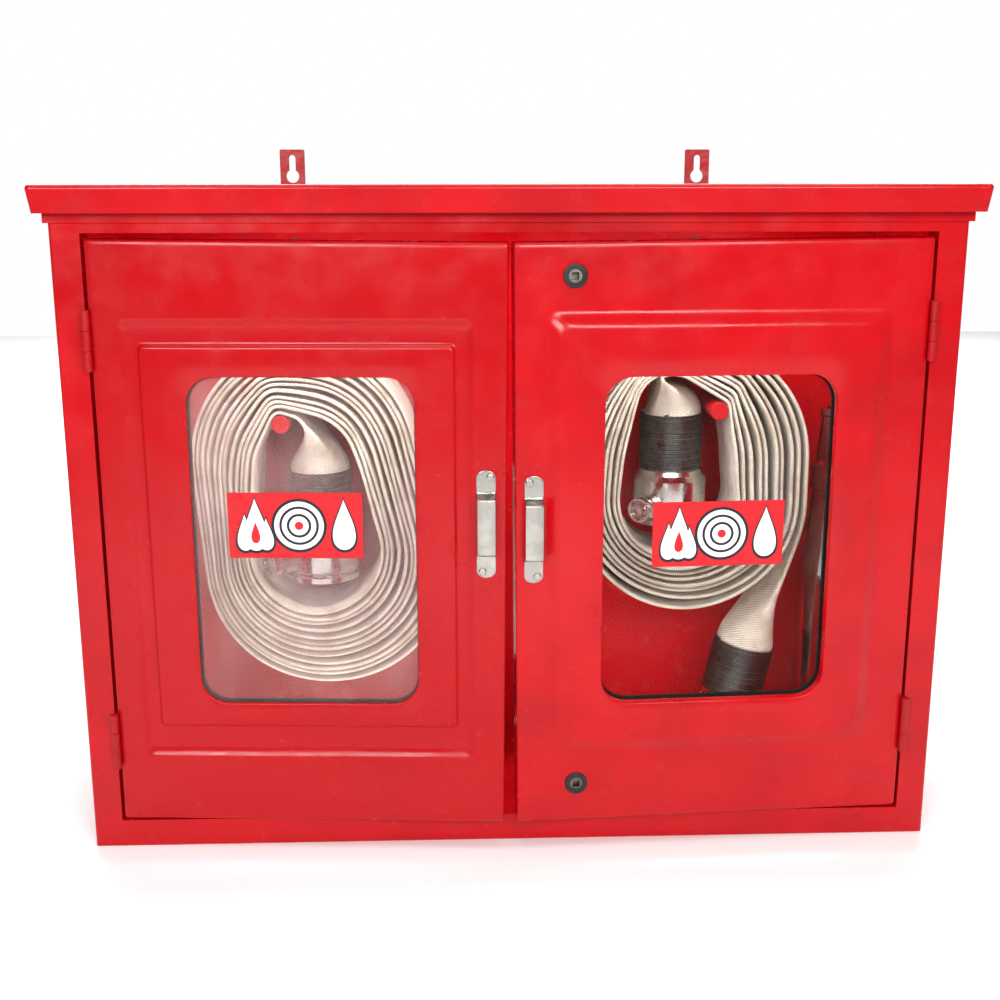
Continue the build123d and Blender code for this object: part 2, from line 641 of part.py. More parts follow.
def handle_screws(place, mirrored):
    """Screws of one handle, with domed heads."""
    screws = []
    tab_front = DOOR_FACE - HANDLE_STRIP
    for x, z in handle_screw_points(place, mirrored)[0]:
        shank = rod_y(x, z, tab_front, DOOR_FACE + DOOR_SKIN, HANDLE_SCREW_RADIUS)
        head = rod_y(x, z, tab_front - 1.8, tab_front, HANDLE_SCREW_HEAD)
        crown = head.edges().filter_by(lambda edge: edge.center().Y < tab_front - 1)
        screws.append(fillet(crown, 1.2) + shank)
    return joined(screws)


def door_hinge_rivets(side, heights):
    """Rivets that hold the door leaves to one door."""
    return joined(hinge_rivets(side, heights, DOOR_EDGE + LEAF_THICK, DOOR_EDGE - DOOR_SKIN))


# ---------------------------------------------------------------- locks


def lock_housing(place):
    """Round lock body through the door skin, with a flange on the front."""
    x, z = place
    flange = rod_y(x, z, DOOR_FACE - LOCK_FLANGE_THICK, DOOR_FACE, LOCK_FLANGE_RADIUS)
    rim = flange.edges().filter_by(lambda edge: edge.center().Y < DOOR_FACE - 1)
    barrel = rod_y(x, z, DOOR_FACE, DOOR_FACE + DOOR_DEPTH, LOCK_BARREL_RADIUS)
    housing = fillet(rim, 0.8) + barrel
    bore = LOCK_CORE_RADIUS + LOCK_RUNNING_GAP
    return housing - rod_y(x, z, DOOR_FACE - 5, DOOR_FACE + DOOR_DEPTH + 1, bore)


def lock_core(place):
    """Turning core with a square socket in front and a stud for the cam behind."""
    x, z = place
    front = DOOR_FACE - LOCK_FLANGE_THICK + 0.6
    back = DOOR_FACE + DOOR_DEPTH + 0.4
    core = rod_y(x, z, front, back, LOCK_CORE_RADIUS)
    half = LOCK_SOCKET / 2
    core -= block(x - half, x + half, front - 1, front + LOCK_SOCKET_DEPTH, z - half, z + half)
    return core + rod_y(x, z, back, back + CAM_THICK + 3, LOCK_STUD_RADIUS)


def lock_cam(place):
    """Flat cam on the core's stud; it lies towards the hinge side while unlocked."""
    x, z = place
    y0 = DOOR_FACE + DOOR_DEPTH + 0.4
    half = CAM_WIDTH / 2
    cam = rod_y(x, z, y0, y0 + CAM_THICK, half)
    cam += block(x, x + CAM_LENGTH - half, y0, y0 + CAM_THICK, z - half, z + half)
    cam += rod_y(x + CAM_LENGTH - half, z, y0, y0 + CAM_THICK, half)
    return cam - rod_y(x, z, y0 - 1, y0 + CAM_THICK + 1, LOCK_STUD_RADIUS)


def lock_nuts():
    """Hexagonal nuts that clamp both lock bodies from behind."""
    nuts = []
    for x, z in LOCK_PLACES:
        hexagon = Pos(x, z) * RegularPolygon(LOCK_NUT_RADIUS, 6)
        y0 = DOOR_FACE + DOOR_SKIN
        nut = prism_y(hexagon, y0, y0 + LOCK_NUT_THICK)
        nuts.append(nut - rod_y(x, z, y0 - 1, y0 + LOCK_NUT_THICK + 1, LOCK_BARREL_RADIUS + LOCK_NUT_FIT))
    return joined(nuts)


# ---------------------------------------------------------------- hoses


def oval(circles):
    """The band stretched round some circles, as a face in X and Z."""
    rings = [Pos(x, z) * CenterArc((0, 0), radius, 0, 360) for x, z, radius in circles]
    return make_face(make_hull(rings).edges())


def hose_roll(outside, hole):
    """Outer shape of a rolled hose: an oval ring, one hose width deep."""
    return prism_y(oval(outside) - oval(hole), HOSE_FRONT, HOSE_FRONT + HOSE_FLAT)


def inner_tail(x, z_binding, top_x, top_z):
    """Hose from the coupling's binding up to where it folds flat into the roll."""
    middle = HOSE_MIDDLE
    foot = Pos(x, middle, z_binding) * Circle(HOSE_ROUND)
    shoulder = Pos((2 * x + top_x) / 3, middle, z_binding + 0.4 * (top_z - z_binding)) * Circle(HOSE_ROUND - 1)
    flat = Pos(top_x, middle, top_z) * Ellipse(HOSE_TURN + 3, HOSE_FLAT / 2 - 2)
    return loft([foot, shoulder, flat])


def tilted(foot, tilt):
    """Frame at a standing coupling's foot: its Z runs up the coupling, leaning by tilt degrees towards +X."""
    return Pos(foot[0], HOSE_MIDDLE, foot[1]) * Rot(0, tilt, 0)


def outer_tail(foot, tilt, start):
    """Hose from the roll's outer turn down to the standing coupling, opening from flat to round."""
    reach = MALE_LENGTH + BINDING_LENGTH
    lower = tilted(foot, tilt) * Pos(0, 0, reach) * Circle(HOSE_ROUND)
    neck = tilted(foot, tilt) * Pos(0, 0, reach + TAIL_LENGTH) * Circle(HOSE_ROUND - 2)
    flat = Pos(start[0], HOSE_MIDDLE, start[1]) * Ellipse(HOSE_TURN / 2, HOSE_FLAT / 2)
    return loft([lower, neck, flat])


def tail_arch():
    """Flat hose that leaves the left roll upwards, turns over and comes down again beside it."""
    x, z, radius = LEFT_ARCH
    half = HOSE_TURN / 2
    ring = Pos(x, z) * (Circle(radius + half) - Circle(radius - half))
    ring -= Pos(x, z - radius) * Rectangle(4 * radius, 2 * radius)
    up = Pos(x - radius, (LEFT_ARCH_FOOT + z) / 2) * Rectangle(HOSE_TURN, z - LEFT_ARCH_FOOT)
    down = Pos(x + radius, (LEFT_TAIL_START[1] + z) / 2) * Rectangle(HOSE_TURN, z - LEFT_TAIL_START[1])
    return prism_y(ring + up + down, HOSE_FRONT, HOSE_FRONT + HOSE_FLAT)


def hose_tails(side, roll):
    """Both loose ends of one hose, cut back to where they meet the roll and clear of the peg."""
    if side < 0:
        inner = inner_tail(LEFT_COUPLING[0], LEFT_COUPLING[1] + BINDING_LENGTH, -188.0, 352.0)
        outer = outer_tail(LEFT_MALE_FOOT, LEFT_TAIL_TILT, LEFT_TAIL_START) + tail_arch()
        peg = LEFT_PEG
    else:
        inner = inner_tail(RIGHT_COUPLING[0], RIGHT_COUPLING[1] + BINDING_LENGTH, 152.0, 403.0)
        outer = outer_tail(RIGHT_MALE_FOOT, RIGHT_TAIL_TILT, RIGHT_TAIL_START)
        peg = RIGHT_PEG
    clear = rod_y(*peg, PEG_FRONT - 1, BACK, PEG_RADIUS + SOFT_GAP)
    trimmed = [(tail - roll - clear).solids().sort_by(SortBy.VOLUME)[-1] for tail in (inner, outer)]
    return joined(trimmed)


def wire_bindings(place, foot, tilt):
    """Close windings of wire over the hose on both coupling tails, as plain sleeves."""
    x, z = place
    hanging = rod_z(x, HOSE_MIDDLE, z, z + BINDING_LENGTH, BINDING_RADIUS)
    hanging -= rod_z(x, HOSE_MIDDLE, z - 1, z + BINDING_LENGTH + 1, SHANK_RADIUS)
    sleeve = Cylinder(BINDING_RADIUS, BINDING_LENGTH) - Cylinder(SHANK_RADIUS, BINDING_LENGTH + 2)
    standing = tilted(foot, tilt) * Pos(0, 0, MALE_LENGTH + BINDING_LENGTH / 2) * sleeve
    return joined([hanging, standing])


def coupling_body(place, turn):
    """Female coupling: hose shank, socket with a waterway, mouth flange and one boss for the release lug."""
    x, z = place
    mouth = z - COUPLING_BODY
    outside = [
        (WATERWAY, BINDING_LENGTH),
        (SHANK_RADIUS, BINDING_LENGTH),
        (SHANK_RADIUS, 0),
        (COUPLING_NECK, 0),
        (COUPLING_NECK + 1, -4),
        (COUPLING_RADIUS - 1, -9),
        (COUPLING_RADIUS - 1, -COUPLING_BODY + 10),
        (COUPLING_RADIUS - 2.5, -COUPLING_BODY + 7),
        (COUPLING_RADIUS, -COUPLING_BODY + 5),
        (COUPLING_RADIUS, -COUPLING_BODY),
        (COUPLING_BORE, -COUPLING_BODY),
        (COUPLING_BORE, -COUPLING_BODY + COUPLING_SOCKET),
        (WATERWAY, -COUPLING_BODY + COUPLING_SOCKET),
    ]
    body = turned(outside, x, HOSE_MIDDLE, z)
    height = mouth + LUG_ABOVE_MOUTH
    frame = Pos(x, HOSE_MIDDLE, height) * Rot(0, 0, turn)
    boss = rod_x(0, 0, COUPLING_BORE + 1, LUG_BOSS_END, LUG_BOSS_RADIUS)
    body += frame * boss
    body -= frame * rod_x(0, 0, COUPLING_BORE - 2, LUG_CHAMBER_END, LUG_CHAMBER_RADIUS)
    return body - frame * rod_x(0, 0, LUG_CHAMBER_END - 1, LUG_BOSS_END + 1, LUG_ROD_RADIUS + LUG_RUNNING_GAP)


def lug_frame(place, turn):
    """Frame of a release lug: X runs out along the lug from the coupling's axis."""
    x, z = place
    return Pos(x, HOSE_MIDDLE, z - COUPLING_BODY + LUG_ABOVE_MOUTH) * Rot(0, 0, turn)


def release_lug(place, turn):
    """Plunger with a collar inside its chamber and a dished knob outside."""
    rod = rod_x(0, 0, LUG_COLLAR_START, LUG_KNOB_START + 1, LUG_ROD_RADIUS)
    collar = rod_x(0, 0, LUG_COLLAR_START, LUG_COLLAR_START + LUG_COLLAR_THICK, LUG_COLLAR_RADIUS)
    knob = rod_x(0, 0, LUG_KNOB_START, LUG_KNOB_END, LUG_KNOB_RADIUS)
    knob = fillet(knob.edges(), 1.5)
    knob -= rod_x(0, 0, LUG_KNOB_END - 2.5, LUG_KNOB_END + 1, LUG_KNOB_RADIUS - 3.5)
    return lug_frame(place, turn) * (rod + collar + knob)


def lug_spring(place, turn):
    """Compression spring round the plunger, between its collar and the chamber's end."""
    start = LUG_COLLAR_START + LUG_COLLAR_THICK + LUG_SPRING_WIRE + 0.05
    end = LUG_CHAMBER_END - LUG_SPRING_WIRE - 0.1
    pitch = (end - start) / 3
    path = Helix(pitch, end - start, LUG_SPRING_RADIUS)
    section = Plane(origin=path @ 0, z_dir=path % 0) * Circle(LUG_SPRING_WIRE)
    coil = sweep(section, path=path)
    return lug_frame(place, turn) * Pos(start, 0, 0) * Rot(0, 90, 0) * coil


def coupling_seals():
    """Rubber seal rings at the bottom of both sockets."""
    seals = []
    for x, z in (LEFT_COUPLING, RIGHT_COUPLING):
        base = z - COUPLING_BODY + COUPLING_SOCKET
        ring = rod_z(x, HOSE_MIDDLE, base - SEAL_THICK, base, COUPLING_BORE)
        seals.append(ring - rod_z(x, HOSE_MIDDLE, base - SEAL_THICK - 1, base + 1, WATERWAY + 2))
    return joined(seals)


def male_coupling(foot, tilt):
    """Male coupling: plug end with a latch groove at the foot, collar, and a shank inside the hose."""
    outside = [
        (WATERWAY, 0),
        (MALE_TAPER_END, 0),
        (MALE_TAPER_END + 1.5, 3),
        (MALE_TAPER_END + 1.5, 16),
        (MALE_TAPER_END - 2.5, 18),
        (MALE_TAPER_END - 2.5, 25),
        (MALE_RADIUS, 29),
        (MALE_RADIUS, 36),
        (MALE_RADIUS + 2, 40),
        (MALE_RADIUS + 2, 50),
        (MALE_RADIUS - 2, 58),
        (MALE_RADIUS - 2, MALE_LENGTH),
        (SHANK_RADIUS, MALE_LENGTH),
        (SHANK_RADIUS, MALE_LENGTH + BINDING_LENGTH),
        (WATERWAY, MALE_LENGTH + BINDING_LENGTH),
    ]
    return tilted(foot, tilt) * turned(outside, 0, 0)


# ---------------------------------------------------------------- branch pipe


def branch_pipe():
    """Tapered branch pipe with a plug inlet at the foot and a bead at each end of its barrel."""
    x, y = BRANCH_PLACE
    top = BRANCH_LENGTH
    inlet = BRANCH_INLET_LENGTH
    outside = [
        (WATERWAY, 0),
        (BRANCH_INLET_RADIUS - 2.5, 0),
        (BRANCH_INLET_RADIUS - 1, 3),
        (BRANCH_INLET_RADIUS - 1, 16),
        (BRANCH_INLET_RADIUS - 5, 18),
        (BRANCH_INLET_RADIUS - 5, 25),
        (BRANCH_INLET_RADIUS, 29),
        (BRANCH_INLET_RADIUS, inlet - 14),
        (BRANCH_BODY_RADIUS, inlet - 6),
        (BRANCH_BODY_RADIUS, inlet + BRANCH_BARREL),
        (BRANCH_TIP_RADIUS + 3, top - 24),
        (BRANCH_TIP_RADIUS + 6, top - 22),
        (BRANCH_TIP_RADIUS + 6, top - 12),
        (BRANCH_TIP_RADIUS, top - 12),
        (BRANCH_TIP_RADIUS, top),
        (BRANCH_TIP_RADIUS - BRANCH_WALL, top),
        (BRANCH_TIP_RADIUS - BRANCH_WALL, top - 24),
        (WATERWAY, inlet + BRANCH_BARREL - 10),
    ]
    return turned(outside, x, y, WALL)


def branch_nozzle():
    """Screwed tip with a hexagonal grip and a smooth bore that narrows to the jet size."""
    x, y = BRANCH_PLACE
    base = BRANCH_LENGTH - 12
    outside = [
        (BRANCH_TIP_RADIUS, 0),
        (NOZZLE_RADIUS, 0),
        (NOZZLE_RADIUS, 14),
        (NOZZLE_RADIUS - 4, 18),
        (NOZZLE_BORE + 4, NOZZLE_LENGTH - 8),
        (NOZZLE_BORE + 6, NOZZLE_LENGTH - 6),
        (NOZZLE_BORE + 6, NOZZLE_LENGTH),
        (NOZZLE_BORE, NOZZLE_LENGTH),
        (NOZZLE_BORE, NOZZLE_LENGTH - 20),
        (BRANCH_TIP_RADIUS - BRANCH_WALL, 13),
        (BRANCH_TIP_RADIUS - BRANCH_WALL, 12),
        (BRANCH_TIP_RADIUS, 12),
    ]
    return turned(outside, x, y, WALL + base)


def branch_clips():
    """Two open spring clips on the side wall that grip the branch pipe's barrel."""
    x, y = BRANCH_PLACE
    clips = []
    wall = HALF_WIDTH - WALL
    half = CLIP_WIDTH / 2
    for z in CLIP_HEIGHTS:
        grip = BRANCH_BODY_RADIUS
        ring = rod_z(x, y, z - half, z + half, grip + CLIP_THICK) - rod_z(x, y, z - half - 1, z + half + 1, grip)
        mouth = block(x - grip - 5, x - grip * 0.35, y - grip - 5, y + grip + 5, z - half - 1, z + half + 1)
        foot = block(x + grip, wall, y - 6, y + 6, z - half, z + half)
        rivet = rod_x(y, z, wall - 1, HALF_WIDTH, RIVET_RADIUS)
        clips.append(ring - mouth + foot + rivet)
    return joined(clips)


# ---------------------------------------------------------------- assembly


def swung(shape, side):
    """A shut door's piece, turned to where the door rests."""
    axis = Axis((side * HINGE_X, HINGE_Y, 0), (0, 0, 1))
    solids = [solid.rotate(axis, side * DOOR_AJAR) for solid in shape.solids()]
    return solids[0] if len(solids) == 1 else joined(solids)


def cabinet_pieces():
    """Fixed pieces of the cabinet."""
    pieces = {
        "body_shell": body_shell(),
        "face_frame": face_frame(),
        "roof_cap": roof_cap(),
        "left_hanging_strap": hanging_strap(STRAP_CENTRES[0]),
        "right_hanging_strap": hanging_strap(STRAP_CENTRES[1]),
        "hanging_strap_rivets": hanging_strap_rivets(),
        "left_hose_peg": hose_peg(*LEFT_PEG),
        "right_hose_peg": hose_peg(*RIGHT_PEG),
        "peg_bolts": peg_bolts(),
        "hinge_pins": hinge_pins(),
        "frame_hinge_rivets": frame_hinge_rivets(),
    }
    for name, side, heights in (("left", -1, LEFT_HINGES), ("right", 1, RIGHT_HINGES)):
        for level, z in zip(("upper", "lower"), heights):
            pieces[f"{name}_{level}_hinge_frame_leaf"] = frame_leaf(side, z)
    return pieces


def hose_pieces():
    """Hoses, couplings, release lugs and the branch pipe."""
    left_roll = hose_roll(LEFT_ROLL_OUTSIDE, LEFT_ROLL_HOLE)
    right_roll = hose_roll(RIGHT_ROLL_OUTSIDE, RIGHT_ROLL_HOLE)
    return {
        "left_hose_roll": left_roll,
        "right_hose_roll": right_roll,
        "left_hose_tails": hose_tails(-1, left_roll),
        "right_hose_tails": hose_tails(1, right_roll),
        "left_wire_bindings": wire_bindings(LEFT_COUPLING, LEFT_MALE_FOOT, LEFT_TAIL_TILT),
        "right_wire_bindings": wire_bindings(RIGHT_COUPLING, RIGHT_MALE_FOOT, RIGHT_TAIL_TILT),
        "left_coupling_body": coupling_body(LEFT_COUPLING, LEFT_LUG_TURN),
        "right_coupling_body": coupling_body(RIGHT_COUPLING, RIGHT_LUG_TURN),
        "coupling_seals": coupling_seals(),
        "left_release_lug": release_lug(LEFT_COUPLING, LEFT_LUG_TURN),
        "right_release_lug": release_lug(RIGHT_COUPLING, RIGHT_LUG_TURN),
        "left_lug_spring": lug_spring(LEFT_COUPLING, LEFT_LUG_TURN),
        "right_lug_spring": lug_spring(RIGHT_COUPLING, RIGHT_LUG_TURN),
        "left_male_coupling": male_coupling(LEFT_MALE_FOOT, LEFT_TAIL_TILT),
        "right_male_coupling": male_coupling(RIGHT_MALE_FOOT, RIGHT_TAIL_TILT),
        "branch_pipe": branch_pipe(),
        "branch_nozzle": branch_nozzle(),
        "branch_clips": branch_clips(),
    }


def door_pieces():
    """Everything that swings with each door, turned to its resting place."""
    sides = (
        ("left", -1, LEFT_HINGES, LEFT_LABEL, LEFT_HANDLE, left_door_panel()),
        ("right", 1, RIGHT_HINGES, RIGHT_LABEL, RIGHT_HANDLE, right_door_panel()),
    )
    pieces = {}
    for name, side, heights, label, handle, panel in sides:
        mirrored = side > 0
        shut = {
            f"{name}_door_panel": panel,
            f"{name}_door_glass": door_glass(side),
            f"{name}_glass_gasket": glass_gasket(side),
            f"{name}_label_plate": label_plate(label),
            f"{name}_pull_handle": pull_handle(handle, mirrored),
            f"{name}_handle_screws": handle_screws(handle, mirrored),
            f"{name}_upper_hinge_door_leaf": door_leaf(side, heights[0]),
            f"{name}_lower_hinge_door_leaf": door_leaf(side, heights[1]),
            f"{name}_door_hinge_rivets": door_hinge_rivets(side, heights),
        }
        if mirrored:
            shut["lock_nuts"] = lock_nuts()
            for level, place in zip(("upper", "lower"), LOCK_PLACES):
                shut[f"{level}_lock_housing"] = lock_housing(place)
                shut[f"{level}_lock_core"] = lock_core(place)
                shut[f"{level}_lock_cam"] = lock_cam(place)
        for node, shape in shut.items():
            pieces[node] = swung(shape, side)
    return pieces


def main():
    """Writes one STEP file for each piece."""
    os.makedirs("parts", exist_ok=True)
    pieces = {**cabinet_pieces(), **hose_pieces(), **door_pieces()}
    for node, shape in pieces.items():
        export_step(shape, f"parts/{node}.step")


if __name__ == "__main__":
    main()
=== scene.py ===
"""Looks of a wall-hung double-door fire hose cabinet with two rolled hoses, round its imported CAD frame."""

import json
import logging
import math
from dataclasses import dataclass
from enum import Enum

import bpy
import numpy as np
from mathutils import Matrix, Vector


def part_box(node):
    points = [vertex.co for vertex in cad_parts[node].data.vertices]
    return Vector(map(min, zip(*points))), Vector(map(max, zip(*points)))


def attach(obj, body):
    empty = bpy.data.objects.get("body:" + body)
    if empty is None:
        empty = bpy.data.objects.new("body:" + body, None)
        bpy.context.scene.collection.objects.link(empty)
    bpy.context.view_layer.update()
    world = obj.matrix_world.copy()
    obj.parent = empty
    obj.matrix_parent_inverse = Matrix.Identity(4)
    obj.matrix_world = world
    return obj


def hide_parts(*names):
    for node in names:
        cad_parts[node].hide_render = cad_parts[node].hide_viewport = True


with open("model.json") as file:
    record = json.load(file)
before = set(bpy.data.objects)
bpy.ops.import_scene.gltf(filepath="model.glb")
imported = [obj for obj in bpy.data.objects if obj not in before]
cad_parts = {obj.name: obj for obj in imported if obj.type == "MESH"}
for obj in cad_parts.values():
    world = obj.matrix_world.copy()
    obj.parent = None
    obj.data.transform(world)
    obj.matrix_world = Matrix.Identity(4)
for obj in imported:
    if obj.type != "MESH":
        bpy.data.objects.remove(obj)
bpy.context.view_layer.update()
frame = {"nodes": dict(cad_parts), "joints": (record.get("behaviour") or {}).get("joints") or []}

MM = 0.001
log = logging.getLogger("cabinet")

Points = np.ndarray
Socket = bpy.types.NodeSocket


# ------------------------------------------------------------------ colour and shader nodes


def linear(code: str) -> tuple[float, float, float, float]:
    """Turns an sRGB hex colour such as "C8102E" to linear red, green, blue and alpha 1."""
    values = np.array([int(code[i : i + 2], 16) for i in (0, 2, 4)]) / 255
    low = values / 12.92
    high = ((values + 0.055) / 1.055) ** 2.4
    return (*np.where(values <= 0.04045, low, high).tolist(), 1.0)


def add(tree: bpy.types.NodeTree, kind: str, inputs: dict | None = None, **settings) -> bpy.types.Node:
    """Adds one node to a tree.

    Args:
        tree: The node tree.
        kind: The node's type name without its "ShaderNode" start.
        inputs: Socket name or number to a value, or to another node's output to link.
        settings: Properties of the node itself.

    Returns:
        The new node.
    """
    made = tree.nodes.new("ShaderNode" + kind)
    for name, value in settings.items():
        setattr(made, name, value)
    for key, value in (inputs or {}).items():
        if isinstance(value, bpy.types.NodeSocket):
            tree.links.new(value, made.inputs[key])
        else:
            made.inputs[key].default_value = value
    return made


class Coordinates(Enum):
    """Which coordinates a pattern follows."""

    OBJECT = "Object"
    SURFACE = "UV"


@dataclass(frozen=True)
class Finish:
    """A finish starts from one Principled shader whose constant values sit on its own sockets."""

    name: str
    colour: str
    roughness: float = 0.5
    metallic: float = 0.0
    specular: float = 0.5

    def material(self) -> bpy.types.Material:
        """Returns the finish's material, made the first time it is asked for."""
        known = bpy.data.materials.get(self.name)
        if known:
            return known
        made = bpy.data.materials.new(self.name)
        made.use_nodes = True
        tree = made.node_tree
        shader = tree.nodes["Principled BSDF"]
        shader.inputs["Base Color"].default_value = linear(self.colour)
        shader.inputs["Roughness"].default_value = self.roughness
        shader.inputs["Metallic"].default_value = self.metallic
        if not self.metallic:
            shader.inputs["Specular IOR Level"].default_value = self.specular
        self.detail(tree, shader)
        return made

    def detail(self, tree: bpy.types.NodeTree, shader: bpy.types.Node) -> None:
        """Adds the finish's own pattern; a plain one has a faint mottle of roughness."""
        noise = self.noise(tree, 25.0 * MM)
        self.spread(tree, noise, self.roughness * 0.8, self.roughness * 1.25, shader.inputs["Roughness"])

    def coordinates(self, tree: bpy.types.NodeTree, kind: Coordinates) -> Socket:
        """Returns the output that a pattern reads its place from."""
        return add(tree, "TexCoord").outputs[kind.value]

    def noise(
        self,
        tree: bpy.types.NodeTree,
        size: float,
        detail: float = 4.0,
        where: Coordinates = Coordinates.OBJECT,
        stretch: tuple[float, float, float] = (1.0, 1.0, 1.0),
    ) -> Socket:
        """Adds a noise whose blotches are about size metres across.

        Args:
            tree: The node tree.
            size: Blotch size in metres.
            detail: Octaves of finer noise.
            where: Coordinates it follows.
            stretch: How many times longer the blotches are along each axis.

        Returns:
            The noise's value, about 0.3 to 0.7.
        """
        scale = tuple(1 / (size * s) for s in stretch)
        placed = add(tree, "Mapping", {"Vector": self.coordinates(tree, where), "Scale": scale})
        made = add(tree, "TexNoise", {"Vector": placed.outputs[0], "Scale": 1.0, "Detail": detail})
        return made.outputs[0]

    def spread(
        self, tree: bpy.types.NodeTree, value: Socket, low: float, high: float, target: Socket
    ) -> None:
        """Feeds a noise to a socket, spread from low to high."""
        limits = {0: value, 1: 0.3, 2: 0.7, 3: low, 4: high}
        tree.links.new(add(tree, "MapRange", limits).outputs[0], target)

    def tint(self, tree: bpy.types.NodeTree, share: Socket, first, second) -> Socket:
        """Mixes two colours, each a hex code or an output, by share, and returns the mix."""
        colours = [linear(c) if isinstance(c, str) else c for c in (first, second)]
        return add(tree, "Mix", {0: share, 6: colours[0], 7: colours[1]}, data_type="RGBA").outputs[2]

    def ramp(self, tree: bpy.types.NodeTree, value: Socket, low: float, high: float) -> Socket:
        """Returns value as a share from 0 at low to 1 at high, eased."""
        limits = {0: value, 1: low, 2: high}
        return add(tree, "MapRange", limits, interpolation_type="SMOOTHSTEP").outputs[0]

    def bump(
        self,
        tree: bpy.types.NodeTree,
        height: Socket,
        depth: float,
        strength: float,
        under: Socket | None = None,
    ) -> Socket:
        """Returns a normal bumped by a height of depth metres, over another bump if one is given."""
        inputs = {"Height": height, "Distance": depth, "Strength": strength}
        if under is not None:
            inputs["Normal"] = under
        return add(tree, "Bump", inputs).outputs[0]


@dataclass(frozen=True)
class Gelcoat(Finish):
    """Hand-laid glass-fibre under red gelcoat: glossy, slightly wavy, with fine grit and dull patches."""

    wave: float = 55.0 * MM
    grit: float = 1.6 * MM
    deep: str = "AC0711"

    def detail(self, tree: bpy.types.NodeTree, shader: bpy.types.Node) -> None:
        """Slow waves and brush drag bend the reflections; the colour deepens in patches."""
        slow = self.noise(tree, self.wave, 2.0)
        drag = self.noise(tree, 9 * MM, 3.0, stretch=(6.0, 1.0, 1.0))
        grit = self.noise(tree, self.grit, 2.0)
        normal = self.bump(tree, slow, 1.6 * MM, 0.55)
        normal = self.bump(tree, drag, 0.25 * MM, 0.35, normal)
        normal = self.bump(tree, grit, 0.06 * MM, 0.3, normal)
        patches = self.ramp(tree, self.noise(tree, 80 * MM, 5.0), 0.35, 0.75)
        specks = self.ramp(tree, self.noise(tree, 2.2 * MM, 1.0), 0.70, 0.78)
        colour = self.tint(tree, patches, self.colour, self.deep)
        tree.links.new(self.tint(tree, specks, colour, self.deep), shader.inputs["Base Color"])
        self.spread(tree, self.noise(tree, 30 * MM, 5.0), self.roughness * 0.7, self.roughness * 1.6,
                    shader.inputs["Roughness"])
        tree.links.new(normal, shader.inputs["Normal"])


@dataclass(frozen=True)
class Metal(Finish):
    """A metal surface with smudges, and fine drawn lines where it was brushed along an axis."""

    metallic: float = 1.0
    along: tuple[float, float, float] = (1.0, 1.0, 1.0)
    line: float = 0.5 * MM
    line_depth: float = 0.02 * MM
    dirt: str = "4A463F"
    dirt_share: float = 0.25

    def detail(self, tree: bpy.types.NodeTree, shader: bpy.types.Node) -> None:
        """Drawn lines are a noise stretched along the brushing; dirt gathers in blotches."""
        lines = self.noise(tree, self.line, 3.0, stretch=self.along)
        smudge = self.noise(tree, 14 * MM, 5.0)
        self.spread(tree, smudge, self.roughness * 0.6, self.roughness * 1.7, shader.inputs["Roughness"])
        grime = self.ramp(tree, self.noise(tree, 7 * MM, 6.0), 0.75 - self.dirt_share * 0.6, 0.9)
        tree.links.new(self.tint(tree, grime, self.colour, self.dirt), shader.inputs["Base Color"])
        tree.links.new(self.bump(tree, lines, self.line_depth, 0.6), shader.inputs["Normal"])


@dataclass(frozen=True)
class WovenHose(Finish):
    """Circular-woven polyester jacket: plump oblique weft over a thin warp, greyed with handling."""

    weft: float = 1.9 * MM
    warp: float = 1.5 * MM
    # The darker colour painted between the threads as painted shade.
    shade: str = "A89D89"
    stain: str = "C6BAA4"

    def detail(self, tree: bpy.types.NodeTree, shader: bpy.types.Node) -> None:
        """Two sets of threads cross on the hose's own length and girth; the valleys between are painted
        darker as painted shade.
        """
        where = self.coordinates(tree, Coordinates.SURFACE)
        turns = 2 * math.pi
        heights = []
        for pitch, angle in ((self.weft, 0.35), (self.warp, math.pi / 2 - 0.2)):
            axis = (math.cos(angle) * turns / pitch, math.sin(angle) * turns / pitch, 0.0)
            across = add(tree, "VectorMath", {0: where, 1: axis}, operation="DOT_PRODUCT").outputs["Value"]
            heights.append(add(tree, "Math", {0: across}, operation="SINE").outputs[0])
        crossing = add(tree, "Math", {0: heights[0], 1: heights[1]}, operation="MULTIPLY").outputs[0]
        raised = add(tree, "Math", {0: crossing, 1: heights[0]}, operation="ADD").outputs[0]
        # Painted shade: the low parts between threads take the darker shade colour.
        painted_shade_mask = self.ramp(tree, raised, -1.2, 0.6)
        scuffs = self.noise(tree, 45 * MM, 6.0, Coordinates.SURFACE, (4.0, 1.0, 1.0))
        worn = self.ramp(tree, scuffs, 0.45, 0.72)
        patch = self.ramp(tree, self.noise(tree, 20 * MM, 6.0), 0.42, 0.75)
        base = self.tint(tree, worn, self.colour, self.stain)
        base = self.tint(tree, patch, base, self.stain)
        tree.links.new(self.tint(tree, painted_shade_mask, self.shade, base), shader.inputs["Base Color"])
        tree.links.new(self.bump(tree, raised, 0.35 * MM, 0.8), shader.inputs["Normal"])
        shader.inputs["Sheen Weight"].default_value = 0.25


